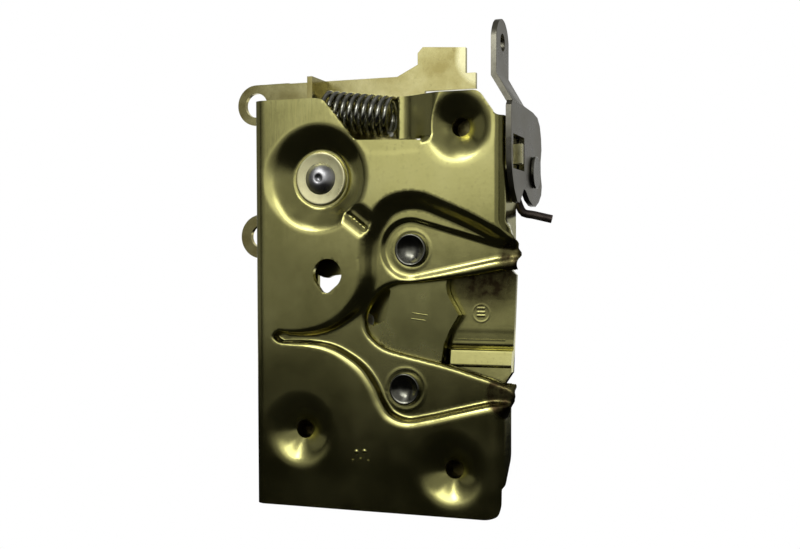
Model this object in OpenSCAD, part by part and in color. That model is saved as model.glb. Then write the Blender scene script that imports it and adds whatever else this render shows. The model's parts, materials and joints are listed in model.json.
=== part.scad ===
// Side-mouth rotary door lock: pressed case, claw, pawl, link and levers.
// X runs across the face towards the striker, Y runs back from the face, Z is up.
// The origin is the centre of the latched striker, in the plane of the face.

/* [Case] */
// Height of the face plate
face_h = 110; // [108:1:116]
// Width of the case over its two flanges
case_w = 69.2; // [68.4:0.2:72]
// Thickness of the case sheet
sheet_t = 1.5; // [1.2:0.1:1.8]
// Outer radius of the two long bends
bend_r = 3; // [2.4:0.2:4]
// Place of the left flange's outer side, from the left edge of the levers' layout
left_x = -1; // [-1.4:0.2:0]
// Depth of the left flange
left_depth = 12; // [8:0.5:12.5]
// Depth of the right flange above the mouth
right_depth = 14; // [12:0.5:16]
// Depth of the right flange below the mouth
foot_depth = 8.8; // [6:0.2:9.4]
// Depth of the recess round the mouth
recess_d = 3; // [2.4:0.2:3.4]
// Extra depth of the teardrop pocket in the recess
pocket_d = 0.8; // [0.4:0.1:1]

/* [Fixing holes] */
// Radius of a fixing dimple at the face
dimple_r = 8.1; // [7:0.1:8.6]
// Depth of a fixing dimple
dimple_d = 3.4; // [2.4:0.2:4]
// Radius of the flat round the tapped hole
dimple_flat_r = 3.8; // [3.4:0.1:4.4]
// Core radius of the tapped fixing holes
tap_r = 2.5; // [2:0.05:2.6]
// Outer radius of the collar behind each hole
collar_r = 4; // [3.6:0.1:4.6]

/* [Pivots] */
// Distance of the claw pivot above the striker
claw_arm = 19.1; // [18.6:0.1:19.6]
// Radius of the claw rivet's shank
claw_shank_r = 3.4; // [3:0.1:3.8]
// Radius of the pawl rivet's shank
pawl_shank_r = 3; // [2.6:0.1:3.4]
// Radius of the lever rivet's shank
lever_shank_r = 3; // [2.6:0.1:3.2]
// Radial running clearance at every pivot
run = 0.06; // [0.03:0.01:0.1]

/* [Levers] */
// Thickness of the flat levers
lever_t = 1.5; // [1.2:0.1:1.6]
// Thickness of the claw and the pawl
claw_t = 3.5; // [3:0.1:3.6]
// Hole radius in the release lever's eyelet
eyelet_hole_r = 3.45; // [3:0.05:4]
// Hole radius in the lock lever's eyelet
lock_hole_r = 3.2; // [2.8:0.05:3.8]
// Hole radius at the top of the side lever
side_hole_r = 2.3; // [2:0.05:2.6]
// Radius of the side pivot's shank
side_shank_r = 2.5; // [2.2:0.1:3]

/* [Return spring] */
// Mean radius of the visible spring's coils
coil_r = 4.8; // [4.2:0.1:5]
// Wire radius of the visible spring
coil_wire_r = 0.7; // [0.5:0.05:0.8]
// Number of coils in the visible spring
coil_turns = 9.5; // [7:0.5:10]

/* [Hidden] */

$fn = 64;
gap = 0.3;

// Striker centre, measured from the lower left corner of the face
striker = [case_w - 26.5, 50];
// Pivot centres, as [x, z] from the same corner
claw_c = [striker[0], striker[1] + claw_arm];
pawl_c = striker - [1.1, 17.6];
lever_c = [17.6, face_h - 21.5];
// Pivot of the side lever, as [y, z]
side_c = [27, face_h - 19.5];
// Fixing holes, as [x, z]
top_hole = [case_w - 12.2, face_h - 9];
low_left_hole = [12.8, 20.4];
low_right_hole = [case_w - 13.9, 11.9];
fixing_holes = [top_hole, low_left_hole, low_right_hole];

// Depths of the layers behind the face
floor_y = recess_d;
claw_y = floor_y + pocket_d + sheet_t + gap;
lip_gap = 0.2;
plate_y = claw_y + claw_t + 0.6;
plate_t = 1.5;
link_y = plate_y + plate_t + gap;
release_y = link_y + lever_t + gap;
lock_y = release_y + lever_t + 0.4;
tab_y = plate_y - 0.2 - lever_t;
rear_y = lock_y + lever_t;

// Travel of the pawl below and above its rest place, in degrees
pawl_drop = 6.4;
// The claw's outline, in radii from its pivot
claw_rim_r = 30.5;
claw_notch_r = 28.2;
hook_r = 24;
throat_r = 6.8;
throat_a = 30;
throat_way = 61;
finger_t = 4.4;

function deg_point(r, a) = [r * cos(a), -r * sin(a)];
function arc_points(c, r, a0, a1, n) =
    [for (i = [0 : n]) let (a = a0 + (a1 - a0) * i / n) c + [r * cos(a), r * sin(a)]];
function claw_arc(r, a0, a1, n) = [for (i = [0 : n]) deg_point(r, a0 + (a1 - a0) * i / n)];

// Smooth closed curve through hand-set points, with every number of a point blended
function blend4(a, b, c, d, t) =
    0.5 * ((2 * b) + (c - a) * t + (2 * a - 5 * b + 4 * c - d) * t * t
    + (3 * b - a - 3 * c + d) * t * t * t);
function smooth_loop(p, steps, shift = 0) =
    let (n = len(p))
    [for (i = [0 : n - 1]) for (s = [0 : steps - 1])
        blend4(p[(i + n - 1) % n], p[i], p[(i + 1) % n], p[(i + 2) % n], (s + shift) / steps)];
function flat_points(p) = [for (q = p) [q[0], q[1]]];
// Each point of a loop moved to its left, by a share of its own third number and a fixed amount
function moved_in(p, share, more) =
    let (n = len(p))
    [for (i = [0 : n - 1])
        let (d = p[(i + 1) % n] - p[(i + n - 1) % n], m = (p[i][2] * share + more) / norm([d[0], d[1]]))
        [p[i][0] - d[1] * m, p[i][1] + d[0] * m]];

// Lap of a pressed wall into the flat metal at its two ends, and how far it lies under the surface
wall_lap = 0.4;
wall_skin = 0.02;

// The outlines below are drawn for a striker at this place
drawn_striker = [42.7, 50];
// How they follow it: the mouth as a whole, the recess's left tip not at all
function placed(p) = [for (q = p) let (share = min(1, max(0, (q[0] - 5) / 25)))
    [q[0] + share * (striker[0] - drawn_striker[0]), q[1] + striker[1] - drawn_striker[1], q[2]]];

// Recess round the mouth, anticlockwise from the front: [x, z, width of its sloped wall]
recess_points = [
    [78, 70.6, 3], [67.8, 74.5, 3], [60.5, 78.2, 3], [53.5, 81.3, 3], [47.5, 83.7, 3], [41.5, 83.9, 3],
    [36.4, 81.9, 3], [33, 78, 3], [30.8, 73.4, 3], [29.8, 68, 3], [29.6, 62, 2.8], [28.2, 56.6, 2.4],
    [24.6, 52.6, 2], [20.2, 49.6, 1.7], [15, 48, 1.5], [9.5, 47.5, 1.3], [6.3, 47.4, 0.8],
    [4.7, 45.6, 0.6], [6.4, 43.8, 0.8], [9.8, 43.3, 1.3], [15.4, 42.9, 1.6], [20.8, 41.7, 2.1],
    [25.2, 39.4, 2.5], [29.1, 36.3, 3], [32, 32.4, 3], [34.3, 27.7, 3], [37.3, 24, 3],
    [42.6, 22.3, 3], [49, 23.3, 3], [57, 25.3, 3], [66, 27.5, 3], [78, 30, 3]];
mouth_points = [
    [80, 66, 0], [68.4, 63.8, 0], [56.9, 61.7, 0], [46, 60.4, 0], [39, 59.8, 0], [35, 58.1, 0],
    [32.2, 55, 0], [30.5, 51.4, 0], [30.7, 48.1, 0], [32.8, 45.2, 0], [36.2, 43, 0], [40.9, 41.7, 0],
    [46.5, 40.5, 0], [52, 39.3, 0], [57, 38, 0], [65, 35.7, 0], [80, 32, 0]];

recess_loop = smooth_loop(placed(recess_points), 2);
// The same curve with its points elsewhere, so that no corner of the flats lies on an edge of the wall
flat_loop = smooth_loop(placed(recess_points), 3, 0.37);
mouth_edge = smooth_loop(placed(mouth_points), 3);
mouth_loop = flat_points(mouth_edge);
mouth_grown = moved_in(mouth_edge, 0, -1.2);

module at_striker() {
    translate([-striker[0], 0, -striker[1]]) children();
}

// A flat outline in X and Z, standing from depth y with thickness t
module plate(y, t) {
    translate([0, y + t, 0]) rotate([90, 0, 0]) linear_extrude(t) children();
}

// A round bar along Y
module bar_y(c, r, y0, y1) {
    translate([c[0], y1, c[1]]) rotate([90, 0, 0]) cylinder(r = r, h = y1 - y0);
}

// A flat outline in Y and Z, standing from x with thickness t
module side_plate(x, t) {
    translate([x, 0, 0]) rotate([90, 0, 90]) linear_extrude(t) children();
}

// A form turned about an axis along Y, from its [radius, depth] outline
module turned_y(c, outline) {
    translate([c[0], 0, c[1]]) rotate([-90, 0, 0]) rotate_extrude() polygon(outline);
}

// A pressed wall that falls inside a loop, with a narrow flat strip at its top and its foot
module pressed_wall(loop, fall, t, rings) {
    n = len(loop);
    steps = concat([[0, -wall_lap, 0]], [for (k = [0 : rings]) let (s = k / rings)
        [s, 0, fall * s * s * (3 - 2 * s)]], [[1, wall_lap, fall]]);
    last = (len(steps) - 1) * n;
    b = len(steps) * n;
    front = [for (q = steps) for (p = moved_in(loop, q[0], q[1])) [p[0], wall_skin + q[2], p[1]]];
    back = [for (p = front) p + [0, t - 2 * wall_skin, 0]];
    sides = [for (k = [0 : len(steps) - 2]) for (i = [0 : n - 1])
        let (j = (i + 1) % n, p = k * n + i, q = k * n + j, u = p + n, v = q + n)
        each [[p, v, q], [p, u, v], [b + p, b + q, b + v], [b + p, b + v, b + u]]];
    edges = [for (i = [0 : n - 1]) let (j = (i + 1) % n)
        each [[i, b + j, b + i], [i, j, b + j],
            [last + i, b + last + i, b + last + j], [last + i, b + last + j, last + j]]];
    polyhedron(points = concat(front, back), faces = concat(sides, edges), convexity = 8);
}

// Outline of the case from above, with its two bends
module case_section(r, inset) {
    w = case_w - left_x - 2 * inset;
    translate([left_x + inset, inset]) union() {
        translate([0, r]) square([w, 60]);
        translate([r, 0]) square([w - 2 * r, r + 1]);
        translate([r, r]) circle(r = r);
        translate([w - r, r]) circle(r = r);
    }
}

module case_envelope() {
    linear_extrude(face_h + 20) case_section(bend_r, 0);
}

flange_top = face_h - 6.6;

// Side view of the right flange, with the ear that carries the side lever
right_outline = [
    [-1, 7], [0, 7], [3, 9], [foot_depth, 15], [foot_depth, 33], [right_depth, 64],
    [right_depth, face_h - 31], [14.6, face_h - 24], [20.6, face_h - 22.4], [22.6, face_h - 25.6],
    [33, face_h - 25], [34, face_h - 21.6], [34, face_h - 12], [29, face_h - 7.4],
    [16, flange_top], [-1, flange_top]];
left_outline = [
    [-1, -1], [2.6, -1], [3.4, 1], [left_depth, 7], [left_depth, face_h - 9],
    [3.4, face_h - 2], [2.6, face_h + 1], [-1, face_h + 1]];

// Right edge of the notch that the return spring lies in
notch_x = case_w - 21.2;

// Front view of the case: notch for the spring, chamfer and bottom corners
front_outline = [
    [left_x, 0], [case_w - 4, 0], [case_w - 1.6, 1], [case_w - 0.7, 3.4], [case_w - 0.6, 12],
    [case_w - bend_r, 16], [case_w - bend_r, flange_top - 0.6], [case_w - 6.6, face_h],
    [notch_x, face_h], [notch_x, face_h - 12.8], [notch_x - 8, face_h - 12], [28.6, face_h - 11.7],
    [19.6, face_h - 0.6], [17.6, face_h], [left_x, face_h]];

// Dish profile from its rim down to a flat with a hole: [radius, depth]
function dish_front(r, flat_r, d, n) =
    [for (i = [0 : n]) let (s = i / n) [r + (flat_r - r) * s, d * s * s * (3 - 2 * s)]];
function reversed(p) = [for (i = [len(p) - 1 : -1 : 0]) p[i]];

module dish(c, r, flat_r, d, hole_r) {
    front = dish_front(r, flat_r, d, 6);
    turned_y(c, concat(front, [[hole_r, d], [hole_r, d + sheet_t]],
        reversed([for (p = front) p + [0, sheet_t]])));
}

module fixing_dimple(c) {
    dish(c, dimple_r, dimple_flat_r, dimple_d, tap_r);
    difference() {
        bar_y(c, collar_r, dimple_d + 0.4, plate_y);
        bar_y(c, tap_r, dimple_d, plate_y + 1);
    }
}

// Gauge hole in the face, and the window behind it
gauge_c = striker - [21.9, -12.7];
window = [for (p = [[-6.8, -0.3], [-5.2, -1], [-3.8, -1.2], [-2.2, -0.5], [1.6, -0.1], [1.8, -4.7],
    [-1.2, -7.3], [-4.8, -6.7], [-6.8, -4.1]]) gauge_c + p];

module gauge_hole() {
    hull() {
        translate(gauge_c) circle(r = 4.1);
        translate(gauge_c - [0.4, 3.2]) circle(r = 1.9);
    }
}

module teardrop(grow) {
    hull() {
        translate([claw_c[0], claw_c[1] + 0.6]) circle(r = 8.3 + grow);
        translate([case_w + 1, claw_c[1] - 0.8]) circle(r = 1.8 + grow);
    }
}

lever_dish_r = 13.7;
lever_dish_d = 3.6;
lever_dish_flat_r = 7.7;
slot_low = face_h - 22.6;
slot_high = face_h - 8.2;
ear_z0 = face_h - 11.4;

module case_shell() {
    difference() {
        linear_extrude(face_h) difference() {
            case_section(bend_r, 0);
            case_section(bend_r - sheet_t, sheet_t);
        }
        translate([case_w / 2, 0, 0]) side_plate(0, case_w) difference() {
            translate([-2, -2]) square([80, face_h + 4]);
            polygon(right_outline);
        }
        translate([left_x - 1, 0, 0]) side_plate(0, case_w / 2) difference() {
            translate([-2, -2]) square([80, face_h + 4]);
            polygon(left_outline);
        }
    }
}

module face_sheet() {
    plate(0, sheet_t) intersection() {
        polygon(front_outline);
        translate([left_x + bend_r, -1]) square([case_w, face_h + 2]);
    }
}

// Ear that the return spring pushes on, bent back from the edge of the notch
module spring_ear() {
    front = [[0.5, 0], [-1.4, 0.3], [-2.8, 1.6], [-3.8, 3.6], [-5.1, 4.8], [-7, 5.2], [-9.6, 5.2]];
    translate([notch_x, 0, ear_z0]) linear_extrude(face_h - ear_z0)
        polygon(concat(front, [[-9.6, 12], [-8.1, 12], [-8.1, 6.7], [-6.4, 6.7], [-4.2, 6.1],
            [-2.6, 4.4], [-1.6, 2.4], [-0.7, 1.6], [0.5, 1.5]]));
}

// Outward fold of metal where the recess runs round the bend
module corner_fold(z0, z1, reach) {
    mid = (z0 + z1) / 2;
    r = sheet_t + reach;
    intersection() {
        translate([case_w - sheet_t, 5.4, 0]) rotate_extrude()
            polygon([[0, z0], [r - 2.6, z0], [r - 0.9, mid - 1.8], [r, mid - 0.6], [r - 2.4, z1], [0, z1]]);
        translate([case_w - sheet_t, 0, z0]) cube([8, 12, z1 - z0]);
    }
}

module face_blank() {
    difference() {
        union() {
            difference() {
                case_shell();
                plate(-1, sheet_t + 2) translate([left_x + bend_r, -1])
                    square([case_w - left_x - 2 * bend_r, face_h + 2]);
            }
            face_sheet();
        }
        plate(-1, floor_y + 1) polygon(moved_in(flat_loop, 0, -wall_lap / 2));
        for (c = fixing_holes) bar_y(c, dimple_r, -1, 5);
        bar_y(lever_c, lever_dish_r, -1, 5);
    }
}

module mouth_recess() {
    intersection() {
        union() {
            difference() {
                union() {
                    pressed_wall(recess_loop, recess_d, sheet_t, 3);
                    plate(floor_y, sheet_t) polygon(moved_in(flat_loop, 1, wall_lap / 2));
                    plate(floor_y + 0.4, claw_y - lip_gap - floor_y - 0.4) polygon(mouth_grown);
                }
                plate(-1, floor_y + pocket_d + 1) teardrop(0);
            }
            plate(floor_y + pocket_d, sheet_t) teardrop(0.8);
        }
        case_envelope();
    }
}

module face_case() {
    at_striker() color([0.66, 0.62, 0.36]) difference() {
        union() {
            face_blank();
            mouth_recess();
            for (c = fixing_holes) fixing_dimple(c);
            dish(lever_c, lever_dish_r, lever_dish_flat_r, lever_dish_d, lever_shank_r);
            spring_ear();
            corner_fold(26.4, 36, 1.7);
            corner_fold(64.2, 74.4, 3.3);
        }
        plate(-1, 70) polygon(mouth_loop);
        plate(-1, 4) gauge_hole();
        bar_y(claw_c, claw_shank_r, -1, 12);
        bar_y(pawl_c, pawl_shank_r, -1, 12);
        side_plate(case_w - 4, 8) translate([tab_y - 1, slot_low])
            square([lever_t + 2, slot_high - slot_low]);
        side_plate(case_w - 4, 8) translate(side_c) circle(r = side_shank_r);
    }
}

// Outline of the rear plate
plate_left = left_x + sheet_t + gap;
plate_right = case_w - sheet_t - gap;
plate_outline = [
    [plate_left, 5], [case_w - 11.2, 5], [plate_right, 10], [plate_right, 34],
    [case_w + 0.2, 37], [case_w + 1.2, 62.5], [plate_right, 65.5],
    [plate_right, face_h - 10], [case_w - 6.8, face_h - 3.6], [notch_x + 3.4, face_h - 3.6],
    [notch_x - 0.4, face_h - 12], [30, face_h - 13.6], [8, face_h - 10], [plate_left, face_h - 16]];

module back_plate() {
    at_striker() color([0.55, 0.5, 0.24]) difference() {
        union() {
            plate(plate_y, plate_t) polygon(plate_outline);
            plate(plate_y - 1.6, 2) hull() {
                translate([case_w - 13.8, 40.7]) circle(r = 1.9);
                translate([case_w - 2, 40.7]) circle(r = 1.9);
            }
            plate(plate_y - 0.5, 1) translate([case_w - 15.7, 44.4]) square([14, 1.2]);
        }
        bar_y(claw_c, claw_shank_r, 0, 30);
        bar_y(pawl_c, pawl_shank_r, 0, 30);
        bar_y(lever_c, 5.4, 0, 30);
        bar_y(pawl_pin_c, 3.6, 0, 30);
        for (c = guide_places) bar_y(c, 2, 0, 30);
        plate(plate_y - 1, 4) polygon(window);
        bar_y(lock_anchor, 0.7, 0, 30);
        plate(plate_y - 1, 4) translate(claw_c) polygon(concat(
            claw_arc(spring_leg_r + 1.3, spring_leg_a - 8, spring_leg_a + claw_swing + 8, 10),
            claw_arc(spring_leg_r - 1.3, spring_leg_a + claw_swing + 8, spring_leg_a - 8, 10)));
    }
    at_striker() color([0.55, 0.5, 0.24])
        bar_y(spring_stud, spring_stud_r, plate_y + plate_t - 0.2, plate_y + plate_t + 5.4);
}

// Claw seen from the front, open: radii and angles clockwise from the striker side
module claw_outline() {
    throat_c = deg_point(claw_arm, throat_a);
    difference() {
        polygon(concat(
            [[4, 11.2], [13, 9.6], [20, 6], [23.6, 2.6]],
            claw_arc(hook_r, 1, 15, 4),
            [throat_c + [throat_r * cos(-60), throat_r * sin(60)] + deg_point(1.5, throat_a)],
            [throat_c, throat_c + deg_point(throat_r, throat_way + 90)],
            [deg_point(21.6, 52.6), deg_point(23.8, 63.6), deg_point(26.6, 70)],
            claw_arc(claw_rim_r, 74, 84, 4),
            claw_arc(claw_notch_r, 90, 104.2, 4),
            claw_arc(claw_rim_r, 104.8, 112, 3),
            claw_arc(claw_notch_r, 117, 137, 6),
            [deg_point(claw_notch_r - 1, 138.5), deg_point(claw_notch_r - finger_t + 0.8, 138.5)],
            claw_arc(claw_notch_r - finger_t, 137, 119.5, 5),
            [deg_point(claw_notch_r - finger_t - 3.2, 111.7), deg_point(12.5, 118)],
            claw_arc(11, 130, 240, 10)));
        translate(throat_c) circle(r = throat_r);
    }
}

module claw() {
    at_striker() color([0.5, 0.49, 0.34]) difference() {
        plate(claw_y, claw_t) translate(claw_c) claw_outline();
        bar_y(claw_c, claw_shank_r + run, 0, 30);
        bar_y(claw_c + deg_point(spring_leg_r, spring_leg_a), leg_hole_r, claw_y + claw_t - 1.8, 30);
    }
}

// Where the claw spring's leg enters the claw, from the claw's pivot
spring_leg_r = 8.2;
spring_leg_a = 165;
leg_hole_r = 0.9;
spring_wire_r = 0.7;
claw_swing = 60;
spring_stud = claw_c + [11.4, 7];
spring_stud_r = 1.2;
spring_coil_r = 6.5;
spring_rise = 3.5;

// Hollow headed rivet along Y
module rivet(c, head_r, shank_r, y_face, y_back, tail) {
    difference() {
        union() {
            turned_y(c, [[0, y_face - 1.4], [head_r - 0.5, y_face - 1.4], [head_r, y_face - 0.9],
                [head_r, y_face], [0, y_face]]);
            bar_y(c, shank_r, y_face - 0.2, y_back + 0.2);
            turned_y(c, [[0, y_back], [head_r + 0.4, y_back], [head_r + 0.2, y_back + tail * 0.6],
                [shank_r * 0.8, y_back + tail], [0, y_back + tail]]);
        }
        turned_y(c, [[0, y_face - 2], [head_r - 1, y_face - 2], [head_r - 1.3, y_face - 0.9],
            [head_r - 2.2, y_face + 0.2], [0, y_face + 0.4]]);
    }
}

module claw_rivet() {
    at_striker() color([0.3, 0.3, 0.3]) rivet(claw_c, 4.9, claw_shank_r,
        floor_y + pocket_d, plate_y + plate_t, 1.4);
}

module pawl_rivet() {
    at_striker() color([0.3, 0.3, 0.3]) rivet(pawl_c, 4.4, pawl_shank_r, floor_y,
        plate_y + plate_t, 1.4);
}

module claw_washer() {
    at_striker() color([0.75, 0.75, 0.7]) difference() {
        bar_y(claw_c, 6.8, claw_y + claw_t + 0.1, plate_y);
        bar_y(claw_c, claw_shank_r, 0, 30);
    }
}

module claw_bumper() {
    at_striker() color([0.1, 0.1, 0.1]) bar_y(claw_c + [15.5, 11.5], 2.6, claw_y + 0.2, plate_y);
}

// Pawl, drawn where it holds the shut claw and then lifted to its rest place
module pawl_outline() {
    c = claw_c - pawl_c;
    polygon(concat(
        [c + deg_point(claw_notch_r + 0.4, 131.2), c + deg_point(claw_notch_r + 0.4, 125),
         c + deg_point(claw_notch_r + 0.9, 120), c + deg_point(claw_rim_r + 0.6, 113.6),
         c + deg_point(claw_rim_r + 0.6, 108)],
        arc_points([0, 0], 5.5, 112, -60, 12),
        [[-8, -7.2], [-12.4, -6.2]],
        arc_points([-14, -3], 3, 268, 130, 6),
        [[-13.6, 1.6], c + deg_point(34.2, 122), c + deg_point(34.4, 131.2)]));
}

pawl_pin_rel = [-14, -3];
pawl_pin_c = pawl_c + [
    pawl_pin_rel[0] * cos(pawl_drop) - pawl_pin_rel[1] * sin(pawl_drop),
    pawl_pin_rel[1] * cos(pawl_drop) + pawl_pin_rel[0] * sin(pawl_drop)];

module pawl() {
    at_striker() color([0.42, 0.41, 0.36]) difference() {
        plate(claw_y, claw_t) translate(pawl_c) rotate(pawl_drop) pawl_outline();
        bar_y(pawl_c, pawl_shank_r + run, 0, 30);
        bar_y(pawl_pin_c, 1.5, 0, 30);
    }
}

module pawl_pin() {
    at_striker() color([0.6, 0.6, 0.58]) bar_y(pawl_pin_c, 1.5, claw_y, link_y + lever_t + 0.1);
}

// Strip behind the rear plate that joins the release lever to the pawl
release_pin_c = lever_c + [18, -3];
guide_places = [striker + [-13.3, 20], striker + [-14.1, 0]];
link_places = concat([release_pin_c], guide_places, [pawl_pin_c]);
link_r = [3.8, 4.4, 4.4, 3.8];
link_travel = 2;
guide_r = 1.5;
pin_r = 1.5;
pin_play = 0.15;

module release_link() {
    at_striker() color([0.62, 0.57, 0.3]) plate(link_y, lever_t, $fn = 32) difference() {
        union() {
            for (i = [0 : 2]) hull() {
                translate(link_places[i]) circle(r = link_r[i]);
                translate(link_places[i + 1]) circle(r = link_r[i + 1]);
            }
        }
        for (c = guide_places) translate(c) {
            for (side = [-1, 1]) translate([0, side * (link_travel + 0.2)]) circle(r = guide_r + 2 * run);
            square([2 * (guide_r + 2 * run), 2 * (link_travel + 0.2)], center = true);
        }
        for (c = [release_pin_c, pawl_pin_c]) translate(c) {
            for (side = [-1, 1]) translate([side * 0.7, 0]) circle(r = pin_r + pin_play);
            square([1.4, 2 * (pin_r + pin_play)], center = true);
        }
    }
}

module link_guide() {
    at_striker() color([0.6, 0.6, 0.58]) for (c = guide_places) turned_y(c, [
        [0, plate_y], [2, plate_y], [2, plate_y + plate_t], [1.5, plate_y + plate_t],
        [1.5, link_y + lever_t + 0.05], [2.9, link_y + lever_t + 0.05], [2.6, link_y + lever_t + 0.2],
        [0, link_y + lever_t + 0.2]]);
}

// Release lever: eyelet at the left, long bar, upright tab and seat for the spring
eyelet_c = [-6.8, face_h + 0.8];
bar_z0 = face_h + 2.4;
bar_z1 = face_h + 6.7;
bar_end_x = case_w - 10.9;
spring_seat_z = face_h - 9;

module release_lever() {
    at_striker() color([0.66, 0.62, 0.38]) {
        difference() {
            union() {
                plate(release_y, lever_t) difference() {
                    union() {
                        hull() {
                            translate(eyelet_c) circle(r = 5.8);
                            translate([3, bar_z1 - 2.7]) circle(r = 2.7);
                        }
                        polygon([[-6, face_h - 4.8], [3, face_h - 7], [9, face_h - 16],
                            [lever_c[0] - 8, lever_c[1]], lever_c + [-4, -7.4], lever_c + [3, -8],
                            release_pin_c + [0, -3.8], release_pin_c + [3.8, 0], release_pin_c + [4, 6],
                            release_pin_c + [5.8, 14.5], [bar_end_x - 14.3, bar_z0],
                            [bar_end_x, bar_z0], [bar_end_x, bar_z1], [bar_end_x - 2.8, bar_z1],
                            [bar_end_x - 2.8, bar_z1 + 6.9], [bar_end_x - 14.9, bar_z1 + 7.7],
                            [bar_end_x - 16.4, bar_z1 + 6.1], [bar_end_x - 16.4, bar_z1 + 3],
                            [bar_end_x - 22.3, bar_z1], [-4, bar_z1 - 0.2]]);
                    }
                    translate(eyelet_c) circle(r = eyelet_hole_r);
                }
                translate([0, 0, spring_seat_z]) linear_extrude(bar_z1 - 0.4 - spring_seat_z)
                    polygon([[14, 2.2], [15.5, 2.2], [15.5, release_y + 0.4], [14, release_y + 0.4]]);
            }
            bar_y(lever_c, 5, 0, 40);
            bar_y(release_pin_c, 1.5, 0, 40);
        }
    }
}

module release_pin() {
    at_striker() color([0.6, 0.6, 0.58]) bar_y(release_pin_c, 1.5, link_y, release_y + lever_t);
}

module release_sleeve() {
    at_striker() color([0.35, 0.35, 0.33]) difference() {
        bar_y(lever_c, 5, lever_dish_d + sheet_t + 0.2, release_y + lever_t);
        bar_y(lever_c, lever_shank_r + run, 0, 40);
    }
}

// Lever inside the case whose end stands out through the right flange
tab_z0 = face_h - 18.6;
tab_z1 = face_h - 13.3;
tab_end_x = case_w + 3.1;

module tab_lever() {
    at_striker() color([0.86, 0.8, 0.45]) difference() {
        plate(tab_y, lever_t) polygon([
            lever_c + [-7, 3], lever_c + [-7, -4], lever_c + [-2, -7], lever_c + [6, -6.6],
            lever_c + [22.4, -2.1], [case_w - 11.2, tab_z0 - 4.8], [case_w - 5.2, tab_z0 - 0.8],
            [tab_end_x, tab_z0], [tab_end_x, tab_z1], [case_w - 5.6, tab_z1], [case_w - 6.6, tab_z0 + 0.4],
            lever_c + [26.4, 3.1], lever_c + [12.4, 5], lever_c + [4, 8],
            lever_c + [-4, 7.4]]);
        bar_y(lever_c, 5, 0, 40);
    }
}

// Helical wire as one tube: centre line points from a function of t in 0..1
function helix_point(r, h, turns, t) =
    [r * cos(360 * turns * t), r * sin(360 * turns * t), h * t];
function crossed(a, b) =
    [a[1] * b[2] - a[2] * b[1], a[2] * b[0] - a[0] * b[2], a[0] * b[1] - a[1] * b[0]];
function unit(v) = v / norm(v);

// One side direction carried along the path, so that the wire isn't twisted
function carried(t, i, u) =
    i == len(t) ? [] : let (v = unit(u - (u * t[i]) * t[i])) concat([v], carried(t, i + 1, v));

module wire(path, r, sides) {
    n = len(path);
    t = [for (i = [0 : n - 1]) unit(path[min(i + 1, n - 1)] - path[max(i - 1, 0)])];
    u = carried(t, 0, crossed(abs(t[0][2]) < 0.9 ? [0, 0, 1] : [1, 0, 0], t[0]));
    points = [for (i = [0 : n - 1]) let (v = crossed(t[i], u[i])) for (k = [0 : sides - 1])
        path[i] + r * (u[i] * cos(360 * k / sides) + v * sin(360 * k / sides))];
    polyhedron(points = points, faces = concat(
        [for (i = [0 : n - 2]) for (k = [0 : sides - 1]) let (j = (k + 1) % sides)
            [i * sides + k, (i + 1) * sides + k, (i + 1) * sides + j]],
        [for (i = [0 : n - 2]) for (k = [0 : sides - 1]) let (j = (k + 1) % sides)
            [i * sides + k, (i + 1) * sides + j, i * sides + j]],
        [[for (k = [0 : sides - 1]) k]],
        [[for (k = [sides - 1 : -1 : 0]) (n - 1) * sides + k]]), convexity = 12);
}

spring_left = [16.2, 7.4, face_h - 2.4];
spring_right = [notch_x - 10.3, 7.4, face_h - 5];

module release_spring() {
    d = spring_right - spring_left;
    tilt = atan2(d[2], d[0]);
    steps = round(coil_turns * 14);
    at_striker() color([0.5, 0.5, 0.46]) translate(spring_left + [coil_wire_r, 0, 0])
        rotate([0, 90 - tilt, 0])
        wire([for (i = [0 : steps]) helix_point(coil_r, norm(d) - 2 * coil_wire_r, coil_turns, i / steps)],
            coil_wire_r, 6);
}

// Wound spring round the tail of the claw rivet: one leg in the claw, one on the rear plate's stud
module claw_spring() {
    y0 = plate_y + plate_t + spring_wire_r + 0.1;
    turns = 2.3;
    out = claw_c + deg_point(spring_leg_r, spring_leg_a);
    at_striker() color([0.4, 0.4, 0.38]) wire(concat(
        [[out[0], claw_y + claw_t - 1.5, out[1]], [out[0], y0 - 1.2, out[1]],
            [out[0] + 0.2, y0 - 0.2, out[1] + 0.1]],
        [for (i = [0 : 46]) let (t = i / 46,
            p = claw_c + deg_point(spring_coil_r, spring_leg_a + 24 + 360 * turns * t))
            [p[0], y0 + spring_rise * t, p[1]]],
        [[spring_stud[0] + 1.8, y0 + spring_rise, spring_stud[1] + 2.8]]), spring_wire_r, 6);
}

dome_r = 4.4;

module lever_rivet() {
    at_striker() color([0.5, 0.5, 0.52]) difference() {
        union() {
            turned_y(lever_c, concat([[0, 1.2]],
                [for (a = [0 : 15 : 90]) [dome_r * sin(a), lever_dish_d - 0.6 - 1.8 * cos(a)]],
                [[dome_r, lever_dish_d - 0.4], [0, lever_dish_d - 0.4]]));
            bar_y(lever_c, lever_shank_r, lever_dish_d - 0.8, rear_y + 2.2);
        }
        turned_y(lever_c, [[0, 0], [0.9, 0], [0.5, 1.9], [0, 2]]);
    }
}

module pivot_washer() {
    at_striker() color([0.78, 0.72, 0.42]) difference() {
        turned_y(lever_c, [[lever_shank_r, lever_dish_d - 0.4], [6.4, lever_dish_d - 0.4],
            [6.7, lever_dish_d - 0.8], [7.3, lever_dish_d - 0.8], [7.3, lever_dish_d],
            [lever_shank_r, lever_dish_d]]);
    }
}

module lever_spacer() {
    at_striker() color([0.7, 0.7, 0.68]) difference() {
        bar_y(lever_c, 6.4, release_y + lever_t + 0.05, lock_y - 0.05);
        bar_y(lever_c, lever_shank_r, 0, 40);
    }
}

lock_eyelet_c = lever_c - [23.8, 15.2];
lock_neck_c = lever_c - [13.6, 9.5];

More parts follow.
